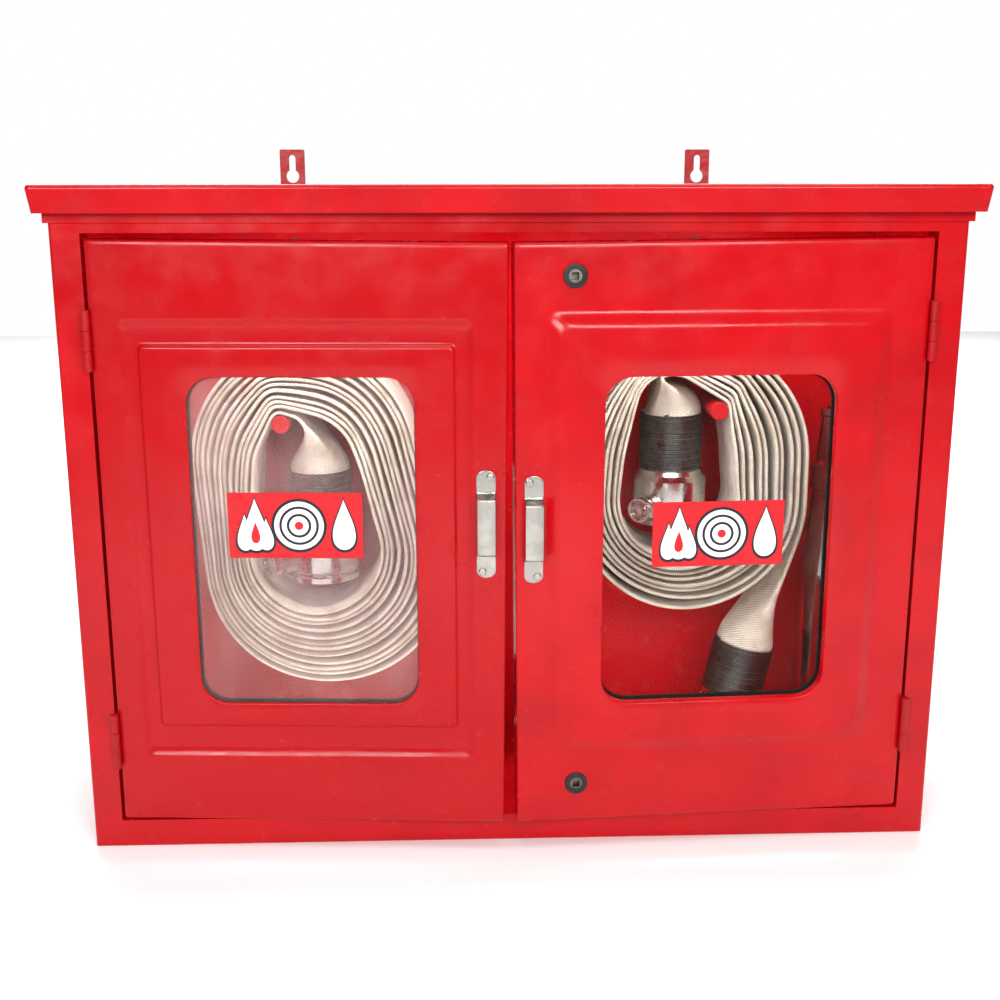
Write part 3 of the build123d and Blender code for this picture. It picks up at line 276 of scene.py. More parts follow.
@dataclass(frozen=True)
class Pane(Finish):
    """Float glass with a film of dust: clear face on, with streaks and a haze that catch the light. The film
    shows its base colour, so the left pane's pink tint is painted reflection.
    """

    haze: float = 0.16
    clear: float = 0.05

    def detail(self, tree: bpy.types.NodeTree, shader: bpy.types.Node) -> None:
        """The dust film's cover follows a stretched noise; gloss rises with the fourth power of the slant,
        and the film's painted colour with it.
        """
        streaks = self.noise(tree, 60 * MM, 5.0, stretch=(1.0, 1.0, 2.5))
        film = add(tree, "MapRange", {0: streaks, 1: 0.35, 2: 0.72, 3: self.clear, 4: self.haze}).outputs[0]
        facing = add(tree, "LayerWeight", {"Blend": 0.5}).outputs["Facing"]
        steep = add(tree, "Math", {0: facing, 1: 4.0}, operation="POWER").outputs[0]
        gloss = add(tree, "Math", {0: steep, 1: 0.6, 2: 0.04}, operation="MULTIPLY_ADD").outputs[0]
        cover = add(tree, "Math", {0: film, 1: gloss}, operation="ADD", use_clamp=True).outputs[0]
        tree.links.new(cover, shader.inputs["Alpha"])


# Red polyester gelcoat over glass-fibre: saturated, glossy, orange-peel and waves from the hand lay-up.
RED_GELCOAT = Gelcoat("red_polyester_gelcoat", "BE0813", roughness=0.2, specular=0.28)
# A darker copy of the same gelcoat for the left door, as painted shade.
RED_GELCOAT_PAINTED_SHADE = Gelcoat("red_polyester_gelcoat_deep", "B10710", roughness=0.2, specular=0.28)
# Brushed enamel on steel straps, hinges and pegs: the same red, thicker and duller.
RED_ENAMEL = Gelcoat("red_enamel_on_steel", "9E0A11", roughness=0.34, specular=0.3,
                     wave=12 * MM, grit=0.9 * MM)
# Pressed stainless strip: bright, drawn along its length.
STAINLESS = Metal("pressed_stainless_strip", "B4B1AA", roughness=0.24,
                  along=(1.0, 1.0, 14.0), dirt_share=0.12)
# Zinc-plated rivets, bolts and clips: pale, dull, mottled.
ZINC = Metal("zinc_plated_steel", "A9A7A0", roughness=0.38, dirt_share=0.45)
# Chromium plate on brass: mirror-like with finger marks.
CHROME = Metal("chrome_on_brass", "D2D0CC", roughness=0.2, dirt_share=0.16, line_depth=0.004 * MM)
# Chromed alloy branch pipe: mirror-like with finer wear.
BRANCH_CHROME = Metal("chrome_on_alloy", "CFCFCC", roughness=0.14, dirt_share=0.22)
# Galvanised binding wire: dark grey, worn bright in places.
WIRE = Metal("galvanised_binding_wire", "6F7673", roughness=0.36, dirt="2C302D", dirt_share=0.5)
# Black enamelled lock front.
LOCK_BLACK = Finish("black_enamel", "15110F", roughness=0.3, specular=0.5)
# Zinc die-cast lock core and cam.
DIE_CAST = Metal("zinc_die_cast", "77726A", roughness=0.42, dirt_share=0.5)
# Matt moulded rubber.
RUBBER = Finish("moulded_rubber", "141312", roughness=0.75, specular=0.3)
# Woven polyester hose jacket.
JACKET = WovenHose("woven_polyester_jacket", "EFEEDF", roughness=0.85, specular=0.2)
# Float glass under dust; the left pane's pinkish film colour is painted reflection over its dust haze.
LEFT_PANE = Pane("float_glass_hazy", "D8B4B2", roughness=0.05, specular=0.5, haze=0.17, clear=0.0)
RIGHT_PANE = Pane("float_glass_clear", "4A3A38", roughness=0.04, specular=0.5, haze=0.02, clear=0.0)
# Screen-printed gloss vinyl film and its three inks.
VINYL_RED = Finish("vinyl_red", "C8101B", roughness=0.3, specular=0.4)
INK_WHITE = Finish("ink_white", "F4F5F8", roughness=0.35, specular=0.4)
INK_BLACK = Finish("ink_black", "14141F", roughness=0.35, specular=0.4)

CAD_FINISHES = {
    RED_GELCOAT: ("body_shell", "face_frame", "roof_cap"),
    RED_ENAMEL: ("hanging_strap", "hose_peg", "hinge_frame_leaf", "hinge_door_leaf", "hinge_pins"),
    ZINC: ("rivets", "peg_bolts", "lock_nuts", "lug_spring", "branch_clips"),
    STAINLESS: ("handle_screws",),
    LOCK_BLACK: ("lock_housing",),
    DIE_CAST: ("lock_core", "lock_cam"),
    RUBBER: ("glass_gasket", "coupling_seals"),
    CHROME: ("coupling_body", "male_coupling"),
    BRANCH_CHROME: ("branch_pipe", "branch_nozzle"),
    VINYL_RED: ("label_plate",),
    LEFT_PANE: ("left_door_glass",),
    RIGHT_PANE: ("right_door_glass",),
}


# ------------------------------------------------------------------ meshes


@dataclass
class Skin:
    """A grid of points, rows by columns, that may close on itself either way."""

    points: Points
    round_rows: bool = False
    round_columns: bool = False
    cap_ends: bool = False
    chart: Points | None = None

    def faces(self, first: int) -> tuple[Points, list[list[int]]]:
        """Numbers the grid's faces.

        Args:
            first: Number of the grid's first point in its mesh.

        Returns:
            An array of quads, and a list of end caps.
        """
        rows, columns = self.points.shape[:2]
        index = first + np.arange(rows * columns).reshape(rows, columns)
        if self.round_rows:
            index = np.vstack([index, index[:1]])
        if self.round_columns:
            index = np.hstack([index, index[:, :1]])
        corners = (index[:-1, :-1], index[:-1, 1:], index[1:, 1:], index[1:, :-1])
        quads = np.stack([c.ravel() for c in corners], axis=1)
        caps = []
        if self.cap_ends:
            ring = first + np.arange(columns)
            caps = [ring[::-1].tolist(), (ring + (rows - 1) * columns).tolist()]
        return quads, caps


def build(name: str, skins: list[Skin], finish: Finish, smooth: bool = True) -> bpy.types.Object:
    """Makes one mesh piece of several grids.

    Args:
        name: The piece's name.
        skins: Its grids, in metres in the row frame.
        finish: Its finish.
        smooth: Whether its faces are shaded as one curved surface.

    Returns:
        The new object, at the origin.
    """
    points, faces, first = [], [], 0
    for skin in skins:
        quads, caps = skin.faces(first)
        faces += quads.tolist() + caps
        flat = skin.points.reshape(-1, 3)
        points.append(flat)
        first += len(flat)
    mesh = bpy.data.meshes.new(name)
    mesh.from_pydata(np.vstack(points), [], faces)
    mesh.polygons.foreach_set("use_smooth", np.full(len(mesh.polygons), smooth))
    charts = [s.chart for s in skins]
    if all(c is not None for c in charts):
        layer = mesh.uv_layers.new(name="length_and_girth")
        placed = np.vstack([c.reshape(-1, 2) for c in charts])
        corners = np.zeros(len(mesh.loops), dtype=np.int32)
        mesh.loops.foreach_get("vertex_index", corners)
        layer.data.foreach_set("uv", placed[corners].ravel().astype(np.float32))
    mesh.materials.append(finish.material())
    mesh.validate()
    made = bpy.data.objects.new(name, mesh)
    bpy.context.scene.collection.objects.link(made)
    log.info("%s: %d faces", name, len(mesh.polygons))
    return made


def ring(corners: Points, radius: float, depth: float, per_side: int = 40, per_corner: int = 8) -> Points:
    """Points round a four-cornered outline with round corners, all at one depth.

    Each corner is an arc about a centre set in from it by the radius both ways; each side runs straight from
    arc to arc. Corners go bottom left, bottom right, top right, top left, seen from the front.

    Args:
        corners: Four (x, z) corners in metres.
        radius: Corner radius in metres.
        depth: The Y of every point.
        per_side: Points along a side.
        per_corner: Points along an arc.

    Returns:
        An array of points, x, y and z.
    """
    inward = np.array([(1, 1), (-1, 1), (-1, -1), (1, -1)])
    centres = corners + inward * radius
    turns = np.linspace(0, np.pi / 2, per_corner)
    starts = np.array([np.pi, 1.5 * np.pi, 0.0, 0.5 * np.pi])
    angles = starts[:, None] + turns[None, :]
    arcs = centres[:, None, :] + radius * np.stack([np.cos(angles), np.sin(angles)], axis=2)
    share = np.linspace(0, 1, per_side + 2)[1:-1, None]
    sides = arcs[:, -1][:, None, :] * (1 - share) + np.roll(arcs[:, 0], -1, axis=0)[:, None, :] * share
    flat = np.concatenate([arcs, sides], axis=1).reshape(-1, 2)
    return np.stack([flat[:, 0], np.full(len(flat), depth), flat[:, 1]], axis=1)


def grown(corners: Points, by: float) -> Points:
    """Moves four corners outwards by a distance, or inwards if it is negative."""
    outward = np.array([(-1, -1), (1, -1), (1, 1), (-1, 1)])
    return corners + outward * by


def rectangle(x0: float, x1: float, z0: float, z1: float) -> Points:
    """Four corners of an upright rectangle."""
    return np.array([(x0, z0), (x1, z0), (x1, z1), (x0, z1)])


def bored(made: bpy.types.Object, places: list[Points], radius: float) -> None:
    """Cuts round holes front to back through a piece.

    Args:
        made: The piece, at the origin.
        places: The middle of each hole, in millimetres.
        radius: The holes' radius in millimetres.
    """
    rod = lathe(np.array([(radius, -12.0), (radius, 12.0)]), 48)
    laid = np.stack([rod[..., 0], rod[..., 2], -rod[..., 1]], axis=-1)
    skins = [Skin((laid + place) * MM, round_columns=True, cap_ends=True) for place in places]
    cutter = build("bore", skins, RUBBER)
    cut = made.modifiers.new("bore", "BOOLEAN")
    cut.operation, cut.solver, cut.object = "DIFFERENCE", "EXACT", cutter
    shape = bpy.data.meshes.new_from_object(made.evaluated_get(bpy.context.evaluated_depsgraph_get()))
    made.modifiers.clear()
    made.data = shape
    bpy.data.objects.remove(cutter)
    shape.set_sharp_from_angle(angle=math.radians(50.0))


def lathe(profile: Points, steps: int = 96) -> Points:
    """Turns a profile of (radius, height) rows about the Z axis, as rows of height by columns of angle."""
    angle = np.linspace(0, 2 * np.pi, steps, endpoint=False)
    radius, height = profile[:, :1], profile[:, 1:]
    flat = np.broadcast_to(height, (len(profile), steps))
    return np.stack([radius * np.cos(angle), radius * np.sin(angle), flat], axis=2)


def tube(path: Points, radius: float, sides: int = 8) -> Points:
    """Carries a circle along a path: each ring stands square to the path, with Z as its guide direction."""
    forward = np.gradient(path, axis=0)
    forward /= np.linalg.norm(forward, axis=1, keepdims=True)
    guide = np.cross(forward, (0.0, 0.0, 1.0))
    guide /= np.maximum(np.linalg.norm(guide, axis=1, keepdims=True), 1e-9)
    other = np.cross(forward, guide)
    angle = np.linspace(0, 2 * np.pi, sides, endpoint=False)
    offset = guide[:, None] * np.cos(angle)[None, :, None] + other[:, None] * np.sin(angle)[None, :, None]
    return path[:, None] + radius * offset


def eased(value: Points, low: float, high: float) -> Points:
    """Smooth step from 0 at low to 1 at high."""
    share = np.clip((value - low) / (high - low), 0, 1)
    return share * share * (3 - 2 * share)


def along(start, start_pull, end, end_pull, count: int) -> Points:
    """A cubic curve between two (x, z) points that leaves and arrives along the two pulls."""
    t = np.linspace(0, 1, count)[:, None]
    start, start_pull, end, end_pull = (np.array(v, float) for v in (start, start_pull, end, end_pull))
    return (
        (2 * t**3 - 3 * t**2 + 1) * start
        + (t**3 - 2 * t**2 + t) * start_pull
        + (-2 * t**3 + 3 * t**2) * end
        + (t**3 - t**2) * end_pull
    )


# ------------------------------------------------------------------ hoses


@dataclass
class Oval:
    """A band stretched round circles, each (x, z, radius) in millimetres."""

    circles: tuple[tuple[float, float, float], ...]

    def reach(self, middle: tuple[float, float], angle: Points) -> Points:
        """Distance from a middle point to the band in each direction.

        The band is the meeting of all half planes that hold every circle: for a direction n the half plane's
        distance is the largest of (centre dot n + radius). The reach along an angle is the smallest of that
        distance over the cosine between the two directions.
        """
        round_about = np.linspace(0, 2 * np.pi, 720, endpoint=False)
        normal = np.stack([np.cos(round_about), np.sin(round_about)])
        x, z, r = np.array(self.circles).T
        offset_x, offset_z = x[:, None] - middle[0], z[:, None] - middle[1]
        far = np.max(offset_x * normal[0] + offset_z * normal[1] + r[:, None], axis=0)
        table = np.linspace(0, 2 * np.pi, 1440)
        cosine = np.cos(round_about[None, :] - table[:, None])
        reach = np.min(np.where(cosine > 0.05, far[None, :] / np.maximum(cosine, 0.05), np.inf), axis=1)
        return np.interp(np.mod(angle, 2 * np.pi), table, reach)


# Points along each stretch of a hose's middle line: in a binding, up to the roll, down from it, over an arch.
BINDING_POINTS = 10
RISE_POINTS = 70
FALL_POINTS = 110
CLIMB_POINTS = 40


class Winding(Enum):
    """Which way a hose turns outwards, seen from the front."""

    CLOCKWISE = -1
    COUNTERCLOCKWISE = 1


@dataclass
class Hose:
    """A lay-flat hose rolled on its peg, between its two couplings. Sizes in millimetres."""

    side: str
    outside: Oval
    hole: Oval
    middle: tuple[float, float]
    winding: Winding
    turns: float
    start_angle: float
    coupling: tuple[float, float]
    foot: tuple[float, float]
    lean: float
    start_pull: tuple[float, float]
    arrive_pull: float
    leave_pull: float
    sag: float = 0.0
    sag_angle: float = -100.0
    seed: int = 1
    half_thick: float = 2.2
    flat_width: float = 85.0
    round_radius: float = 28.6
    depth: float = 37.5
    binding_length: float = 56.0
    coupling_length: float = 66.0
    samples_per_turn: int = 150
    section: int = 36
    over: tuple[float, float] | None = None

    def spiral(self) -> tuple[Points, Points]:
        """Middle line of the rolled turns.

        The distance from the middle is the hole's reach plus a share of the ring's depth at that angle. The
        share rises by one over all turns, with a slow wave that bunches turns where the ring is loose, and a
        sag that holds the inner turns back at the bottom while the last one drops.

        Returns:
            The (x, z) points, and the turn count at each.
        """
        count = int(self.turns * self.samples_per_turn)
        turn = np.linspace(0, self.turns, count)
        angle = math.radians(self.start_angle) + self.winding.value * 2 * np.pi * turn
        inner = self.hole.reach(self.middle, angle) + self.half_thick
        outer = self.outside.reach(self.middle, angle) - self.half_thick
        share = turn / self.turns
        pitch = (outer - inner) / (self.turns - 1)
        loose = np.clip(1 - 2 * self.half_thick / pitch, 0, 0.6)
        waves = 3 + self.seed % 2
        share = share + 0.9 * loose * np.sin(2 * np.pi * waves * share) / (2 * np.pi * waves)
        apart = np.cos(angle - math.radians(self.sag_angle))
        drop = self.sag * np.clip(apart, 0, 1) ** 4 * (1 - eased(turn, self.turns - 1.3, self.turns - 1.05))
        distance = inner + (outer - inner - drop) * share
        distance = distance + loose * np.sin(5.3 * angle + 1.7 * turn + self.seed)
        line = np.stack([np.cos(angle), np.sin(angle)], axis=1) * distance[:, None] + np.array(self.middle)
        return line, turn

    def path(self) -> tuple[Points, Points, Points]:
        """Whole middle line, from inside the hanging binding to inside the standing one.

        Returns:
            The (x, z) points, how round the hose is at each from 0 flat to 1, and its Y.
        """
        rolled, turn = self.spiral()
        x, z = self.coupling
        top = z + self.binding_length
        hanging = np.stack([np.full(BINDING_POINTS, x), np.linspace(z + 1, top, BINDING_POINTS)], axis=1)
        heading = rolled[1] - rolled[0]
        heading = heading / np.linalg.norm(heading) * self.arrive_pull
        rise = along((x, top), self.start_pull, rolled[0], heading, RISE_POINTS)
        away = rolled[-1] - rolled[-2]
        away = away / np.linalg.norm(away) * self.leave_pull
        lean = math.radians(self.lean)
        up = np.array([math.sin(lean), math.cos(lean)])
        foot = np.array(self.foot)
        binding_top = foot + up * (self.coupling_length + self.binding_length)
        if self.over:
            climb = along(rolled[-1], away, self.over, (60, 0), CLIMB_POINTS)
            descent = along(self.over, (90, 0), binding_top, -up * 90, FALL_POINTS - CLIMB_POINTS + 1)
            fall = np.vstack([climb, descent[1:]])
        else:
            fall = along(rolled[-1], away, binding_top, -up * 90, FALL_POINTS)
        standing = binding_top - up * np.linspace(0, self.binding_length - 1, BINDING_POINTS)[:, None]
        line = np.vstack([hanging, rise[1:], rolled[1:], fall[1:], standing[1:]])
        rise_share = np.linspace(1, 0, RISE_POINTS - 1)
        fall_share = np.linspace(0, 1, FALL_POINTS - 1)
        roundness = np.concatenate([
            np.ones(BINDING_POINTS),
            eased(rise_share, 0.25, 1.0),
            np.zeros(len(rolled) - 1),
            eased(fall_share, 0.45, 1.0),
            np.ones(BINDING_POINTS - 1),
        ])
        wander = 1.1 * np.sin(2.3 * turn + self.seed) + 0.7 * np.sin(5.9 * turn + 2 * self.seed)
        fade = eased(turn, 0, 0.5) * (1 - eased(turn, self.turns - 0.5, self.turns))
        depth = np.full(len(line), self.depth)
        roll_start = BINDING_POINTS + RISE_POINTS - 1
        depth[roll_start : roll_start + len(rolled) - 1] += (wander * fade)[1:]
        return line, roundness, depth

    def jacket(self) -> tuple[bpy.types.Object, float]:
        """Carries the hose's section along its whole line.

        The section is round where a coupling fills the hose and a thin lens with blunt edges where it lies
        flat: across the width it follows a power of the section angle's cosine, and through the thickness a
        power of its sine. A shallow groove down the middle of each edge parts the two pressed layers.

        Returns:
            The piece and its length in metres.
        """
        line, roundness, depth = self.path()
        forward = np.gradient(line, axis=0)
        forward /= np.linalg.norm(forward, axis=1, keepdims=True)
        across = np.stack([forward[:, 1], -forward[:, 0]], axis=1)
        angle = np.linspace(0, 2 * np.pi, self.section, endpoint=False)
        cosine, sine = np.cos(angle)[None], np.sin(angle)[None]
        power = (0.5 + 0.5 * roundness)[:, None]
        blunt = (0.35 + 0.65 * roundness)[:, None]
        thick = (self.half_thick + (self.round_radius - self.half_thick) * roundness)[:, None]
        wide = (self.flat_width / 2 + (self.round_radius - self.flat_width / 2) * roundness)[:, None]
        folds = 0.035 * (roundness * (1 - roundness) * 4)[:, None] * np.sin(7 * angle + self.seed)[None]
        thin = np.sign(sine) * np.abs(sine) ** power * thick * (1 + folds)
        groove = 0.55 * np.exp(-((thin / 0.45) ** 2)) * (1 - roundness)[:, None]
        broad = np.sign(cosine) * (np.abs(cosine) ** blunt * wide * (1 + folds * 0.4) - groove)
        x = line[:, :1] + across[:, :1] * thin
        z = line[:, 1:] + across[:, 1:] * thin
        y = depth[:, None] + broad
        run = np.concatenate([[0], np.cumsum(np.linalg.norm(np.diff(line, axis=0), axis=1))])
        outline = np.stack([thin, broad], axis=2)
        step = np.linalg.norm(np.diff(outline, axis=1), axis=2)
        girth = np.concatenate([np.zeros((len(line), 1)), np.cumsum(step, axis=1)], axis=1) * MM
        chart = np.stack([np.broadcast_to(run[:, None] * MM, x.shape), girth], axis=2)
        skin = Skin(np.stack([x, y, z], axis=2) * MM, round_columns=True, cap_ends=True, chart=chart)
        return build(f"{self.side}_rolled_hose", [skin], JACKET), float(run[-1] * MM)

    def stand(self, points: Points) -> Points:
        """Places points drawn on an upright axis at the origin onto the standing coupling's leaning axis."""
        lean = math.radians(self.lean)
        x, y, z = points[..., 0], points[..., 1], points[..., 2]
        turned = [
            self.foot[0] + x * math.cos(lean) + z * math.sin(lean),
            self.depth + y,
            self.foot[1] - x * math.sin(lean) + z * math.cos(lean),
        ]
        return np.stack(turned, axis=-1)

    def winding_wire(self, wire: float = 0.85, pitch: float = 1.72) -> Points:
        """One close winding of wire on an upright axis: a tube on a helix whose radius breathes a little."""
        count = self.binding_length / pitch
        turn = np.linspace(0, count - 1, int(count * 40))
        radius = self.round_radius + wire + 0.22 * np.sin(turn * 2.9) + 0.15 * np.sin(turn * 0.63 * np.pi)
        height = wire + turn * pitch + 0.2 * np.sin(turn * 1.7)
        angle = 2 * np.pi * turn
        line = np.stack([radius * np.cos(angle), radius * np.sin(angle), height], axis=1)
        return tube(line, wire, 7)

    def bindings(self) -> bpy.types.Object:
        """Wire windings over both ends of the hose."""
        wire = self.winding_wire()
        hanging = wire + np.array([self.coupling[0], self.depth, self.coupling[1]])
        standing = self.stand(wire + np.array([0, 0, self.coupling_length]))
        skins = [Skin(points * MM, round_columns=True, cap_ends=True) for points in (hanging, standing)]
        return build(f"{self.side}_binding_wire", skins, WIRE)

    def build(self) -> None:
        hose, length = self.jacket()
        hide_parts(f"{self.side}_hose_roll", f"{self.side}_hose_tails")
        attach(hose, "cabinet")
        wires = self.bindings()
        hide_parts(f"{self.side}_wire_bindings")
        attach(wires, "cabinet")
        log.info("%s hose is %.2f m long", self.side, length)


# ------------------------------------------------------------------ doors


# How far both doors stand open at rest.
AJAR_DEGREES = 3.0


@dataclass
class Door:
    """One moulded door, drawn shut and then swung to where it rests. Sizes in millimetres."""

    side: str
    hinge_edge: float
    meeting_top: float
    meeting_bottom: float
    window: tuple[float, float]
    face: float = -128.0
    top: float = 535.5
    bottom: float = 28.5
    sag: float = 3.0
    window_heights: tuple[float, float] = (138.0, 424.0)
    window_radius: float = 24.0
    skin: float = 4.0
    fold: float = 24.0

    @property
    def sign(self) -> int:
        """-1 for the left door and 1 for the right one."""
        return -1 if self.side == "left" else 1

    def swung(self, points: Points) -> Points:
        """Turns shut points in millimetres about the hinge's pin to where the door rests, in metres."""
        joint = next(j for j in frame["joints"] if j["name"] == f"{self.side}_door_swing")
        angle = math.radians(abs(joint["range_deg"][0])) * self.sign
        pin = np.array(joint["pos_m"]) / MM
        dx, dy = points[..., 0] - pin[0], points[..., 1] - pin[1]
        x = pin[0] + dx * math.cos(angle) - dy * math.sin(angle)
        y = pin[1] + dx * math.sin(angle) + dy * math.cos(angle)
        return np.stack([x, y, points[..., 2]], axis=-1) * MM

    @property
    def slope(self) -> float:
        """How far the resting door's face runs back or forward for each millimetre across it."""
        return math.tan(math.radians(AJAR_DEGREES)) * self.sign

    def outline(self) -> Points:
        """The door's four corners; the free edge leans and its ends hang a little low."""
        low, high = self.bottom, self.top
        free_low, free_high = self.bottom - self.sag / 2, self.top - self.sag
        if self.sign < 0:
            return np.array([
                (self.hinge_edge, low), (self.meeting_bottom, free_low), (self.meeting_top, free_high),
                (self.hinge_edge, high),
            ])
        return np.array([
            (self.meeting_bottom, free_low), (self.hinge_edge, low), (self.hinge_edge, high),
            (self.meeting_top, free_high),
        ])

    def face_rings(self, window: Points) -> list[Points]:
        """Rings of the moulding between the window and the border; each kind of door has its own."""
        raise NotImplementedError

    def waved(self, points: Points) -> Points:
        """Adds the slight unevenness of a hand-laid skin to the front face's depth."""
        x, z = points[..., 0], points[..., 2]
        lift = 0.22 * np.sin(x / 37 + 1.3 * self.sign) * np.sin(z / 49) + 0.14 * np.sin(x / 17 + z / 23)
        points = points.copy()
        points[..., 1] += lift
        return points

    def panel(self) -> bpy.types.Object:
        """The moulded skin: one closed surface of nested rings, from window edge out, round and back."""
        window = rectangle(*self.window, *self.window_heights)
        outline = self.outline()
        front = self.face
        rings = self.face_rings(window)
        rings += [
            ring(grown(outline, -5.0), 4.0, front),
            ring(grown(outline, -2.2), 3.0, front + 0.05),
            ring(grown(outline, -0.9), 2.4, front + 0.5),
            ring(grown(outline, -0.2), 2.2, front + 1.3),
            ring(outline, 2.0, front + 2.6),
        ]
        rings = [self.waved(r) for r in rings]
        back = front + self.fold
        rings += [
            ring(outline, 2.0, back - 0.4),
            ring(grown(outline, -0.4), 2.0, back),
            ring(grown(outline, -self.skin), 1.0, back),
            ring(grown(outline, -self.skin), 1.0, front + self.skin + 3),
            ring(grown(outline, -self.skin - 3), 2.0, front + self.skin),
            ring(grown(window, 0.6), self.window_radius, front + self.skin),
        ]
        grid = np.stack(rings)
        made = build(f"{self.side}_door_skin", [Skin(self.swung(grid), True, True)], self.finish())
        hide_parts(f"{self.side}_door_panel")
        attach(made, f"{self.side}_door")
        return made

    def finish(self) -> Finish:
        """The door's gelcoat; the left door takes a darker copy as painted shade."""
        return RED_GELCOAT_PAINTED_SHADE if self.sign < 0 else RED_GELCOAT

    def window_edge(self, window: Points, front: float) -> list[Points]:
        """The cut edge of the window, slightly softened."""
        r = self.window_radius
        return [
            ring(window, r, self.face + self.skin - 0.3),
            ring(window, r, front + 0.9),
            ring(grown(window, 0.3), r + 0.3, front + 0.3),
            ring(grown(window, 1.0), r + 1, front),
        ]

    def label(self) -> None:
        """A small sign on the pane: flame, rolled hose and water drop in white with a dark edge."""
        low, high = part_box(f"{self.side}_label_plate")
        x, z = ((low[i] + high[i]) / 2 / MM for i in (0, 2))
        skins: dict[Finish, list[Skin]] = {INK_BLACK: [], INK_WHITE: [], VINYL_RED: []}
        front = (low[1] + high[1]) / 2 / MM - 0.35

        def put(ink: Finish, outline: Points, dx: float, dz: float, lift: float) -> None:
            """Lays a star-shaped outline on the film as a fan of rings."""
            share = np.array([0.0, 0.5, 1.0])[:, None]
            px = dx + outline[None, :, 0] * share
            pz = dz + outline[None, :, 1] * share
            flat = np.stack([x + px, front - lift + px * self.slope, z + pz], axis=2)
            skins[ink].append(Skin(flat * MM, round_columns=True))

        turn = np.linspace(0, 2 * np.pi, 72, endpoint=False)
        drop = np.stack([np.sin(turn) * np.sin(turn / 2) ** 1.6, np.cos(turn)], axis=1)
        circle = np.stack([np.cos(turn), np.sin(turn)], axis=1)
        tongues = ((0.0, 1.0, 14.0, 23.0), (-9.0, -6.0, 9.5, 16.0), (9.0, -7.5, 9.0, 14.0))
        for grow, ink, lift in ((2.4, INK_BLACK, 0.04), (0.0, INK_WHITE, 0.08)):
            for order, (dx, dz, wide, tall) in enumerate(tongues):
                put(ink, drop * (wide + grow, tall + grow), dx - 34, dz, lift + 0.012 * order)
            put(ink, circle * (21 + grow), 3, 0, lift)
            put(ink, drop * (14 + grow, 22 + grow), 41, 1, lift)
        put(VINYL_RED, drop * (5.5, 9.5), -34, -6, 0.18)
        for radius, ink, lift in ((16.8, INK_BLACK, 0.12), (14.6, INK_WHITE, 0.16), (10.4, INK_BLACK, 0.2),
                                  (8.2, INK_WHITE, 0.24), (3.6, VINYL_RED, 0.28)):
            put(ink, circle * radius, 3, 0, lift)
        for ink, parts in skins.items():
            made = build(f"{self.side}_label_{ink.name}", parts, ink, smooth=False)
            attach(made, f"{self.side}_door")

    def handle(self) -> None:
        """A pressed strip handle: round-ended tabs, steep shoulders and a grip creased along its middle."""
        low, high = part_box(f"{self.side}_pull_handle")
        x, z = ((low[i] + high[i]) / 2 / MM for i in (0, 2))
        half_length, tab, rise, strip, half_width = 46.5, 20.0, 11.8, 1.2, 8.0
        run = np.linspace(-half_length, half_length, 141)
        grip = half_length - tab
        lift = rise * (1 - eased(np.abs(run), grip - 3.4, grip + 1.2))
        end = np.clip((half_length - np.abs(run)) / 6.0, 0, 1)
        width = half_width * np.sqrt(1 - (1 - end) ** 2 * 0.999)
        width *= 1 - 0.06 * eased(np.abs(run), grip + 6, grip - 6)
        angle = np.linspace(0, 2 * np.pi, 40, endpoint=False)
        cosine, sine = np.cos(angle), np.sin(angle)
        across = np.sign(cosine) * np.abs(cosine) ** 0.5
        through = np.sign(sine) * np.abs(sine) ** 0.5
        crease = (lift / rise)[:, None] * (1.4 * (1 - np.abs(across)[None]))
        px = width[:, None] * across[None]
        rest = self.swung(np.array([[x, self.face, z]]))[0] / MM
        base = rest[1] + (x - rest[0]) * self.slope
        py = base - strip / 2 - 0.15 - lift[:, None] - crease + through[None] * strip / 2 + px * self.slope
        grid = np.stack([x + px, py, np.broadcast_to(z + run[:, None], px.shape)], axis=2)
        skin = Skin(grid * MM, round_columns=True, cap_ends=True)
        made = build(f"{self.side}_strip_handle", [skin], STAINLESS)
        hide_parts(f"{self.side}_pull_handle")
        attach(made, f"{self.side}_door")

    def build(self) -> None:
        """Makes the door's skin, its label and its handle."""
        self.panel()
        self.label()
        self.handle()


@dataclass
class GroovedDoor(Door):
    """A door with a sunk channel round a flat field."""

    channel: tuple[float, float, float, float] = (-324.0, -34.0, 88.5, 471.0)
    channel_widths: tuple[float, float, float, float] = (16.0, 16.0, 29.0, 22.0)
    channel_depth: float = 3.4

    def face_rings(self, window: Points) -> list[Points]:
        """Window edge, flat field, crisp inner step, channel floor and a slanted outer bank."""
        x0, x1, z0, z1 = self.channel
        left, right, low, high = self.channel_widths
        outer = rectangle(x0, x1, z0, z1)
        inner = rectangle(x0 + left, x1 - right, z0 + low, z1 - high)
        front, floor = self.face, self.face + self.channel_depth
        rings = self.window_edge(window, front)
        rings += [
            ring((grown(window, 1) + grown(inner, -1)) / 2, 16.0, front),
            ring(grown(inner, -2.2), 4.0, front),
            ring(grown(inner, -0.8), 4.0, front + 0.15),
            ring(grown(inner, 0.0), 4.0, front + 0.6),
            ring(grown(inner, 0.9), 4.5, floor - 0.7),
            ring(grown(inner, 2.4), 5.0, floor - 0.1),
            ring(grown(inner, 4.4), 6.0, floor),
            ring(inner * 0.35 + outer * 0.65, 7.0, floor - 0.5),
            ring(grown(outer, -3.0), 7.0, floor - 1.2),
            ring(grown(outer, -1.0), 7.0, front + 0.5),
            ring(grown(outer, 0.4), 7.0, front + 0.1),
            ring(grown(outer, 2.0), 7.0, front),
        ]
        return rings


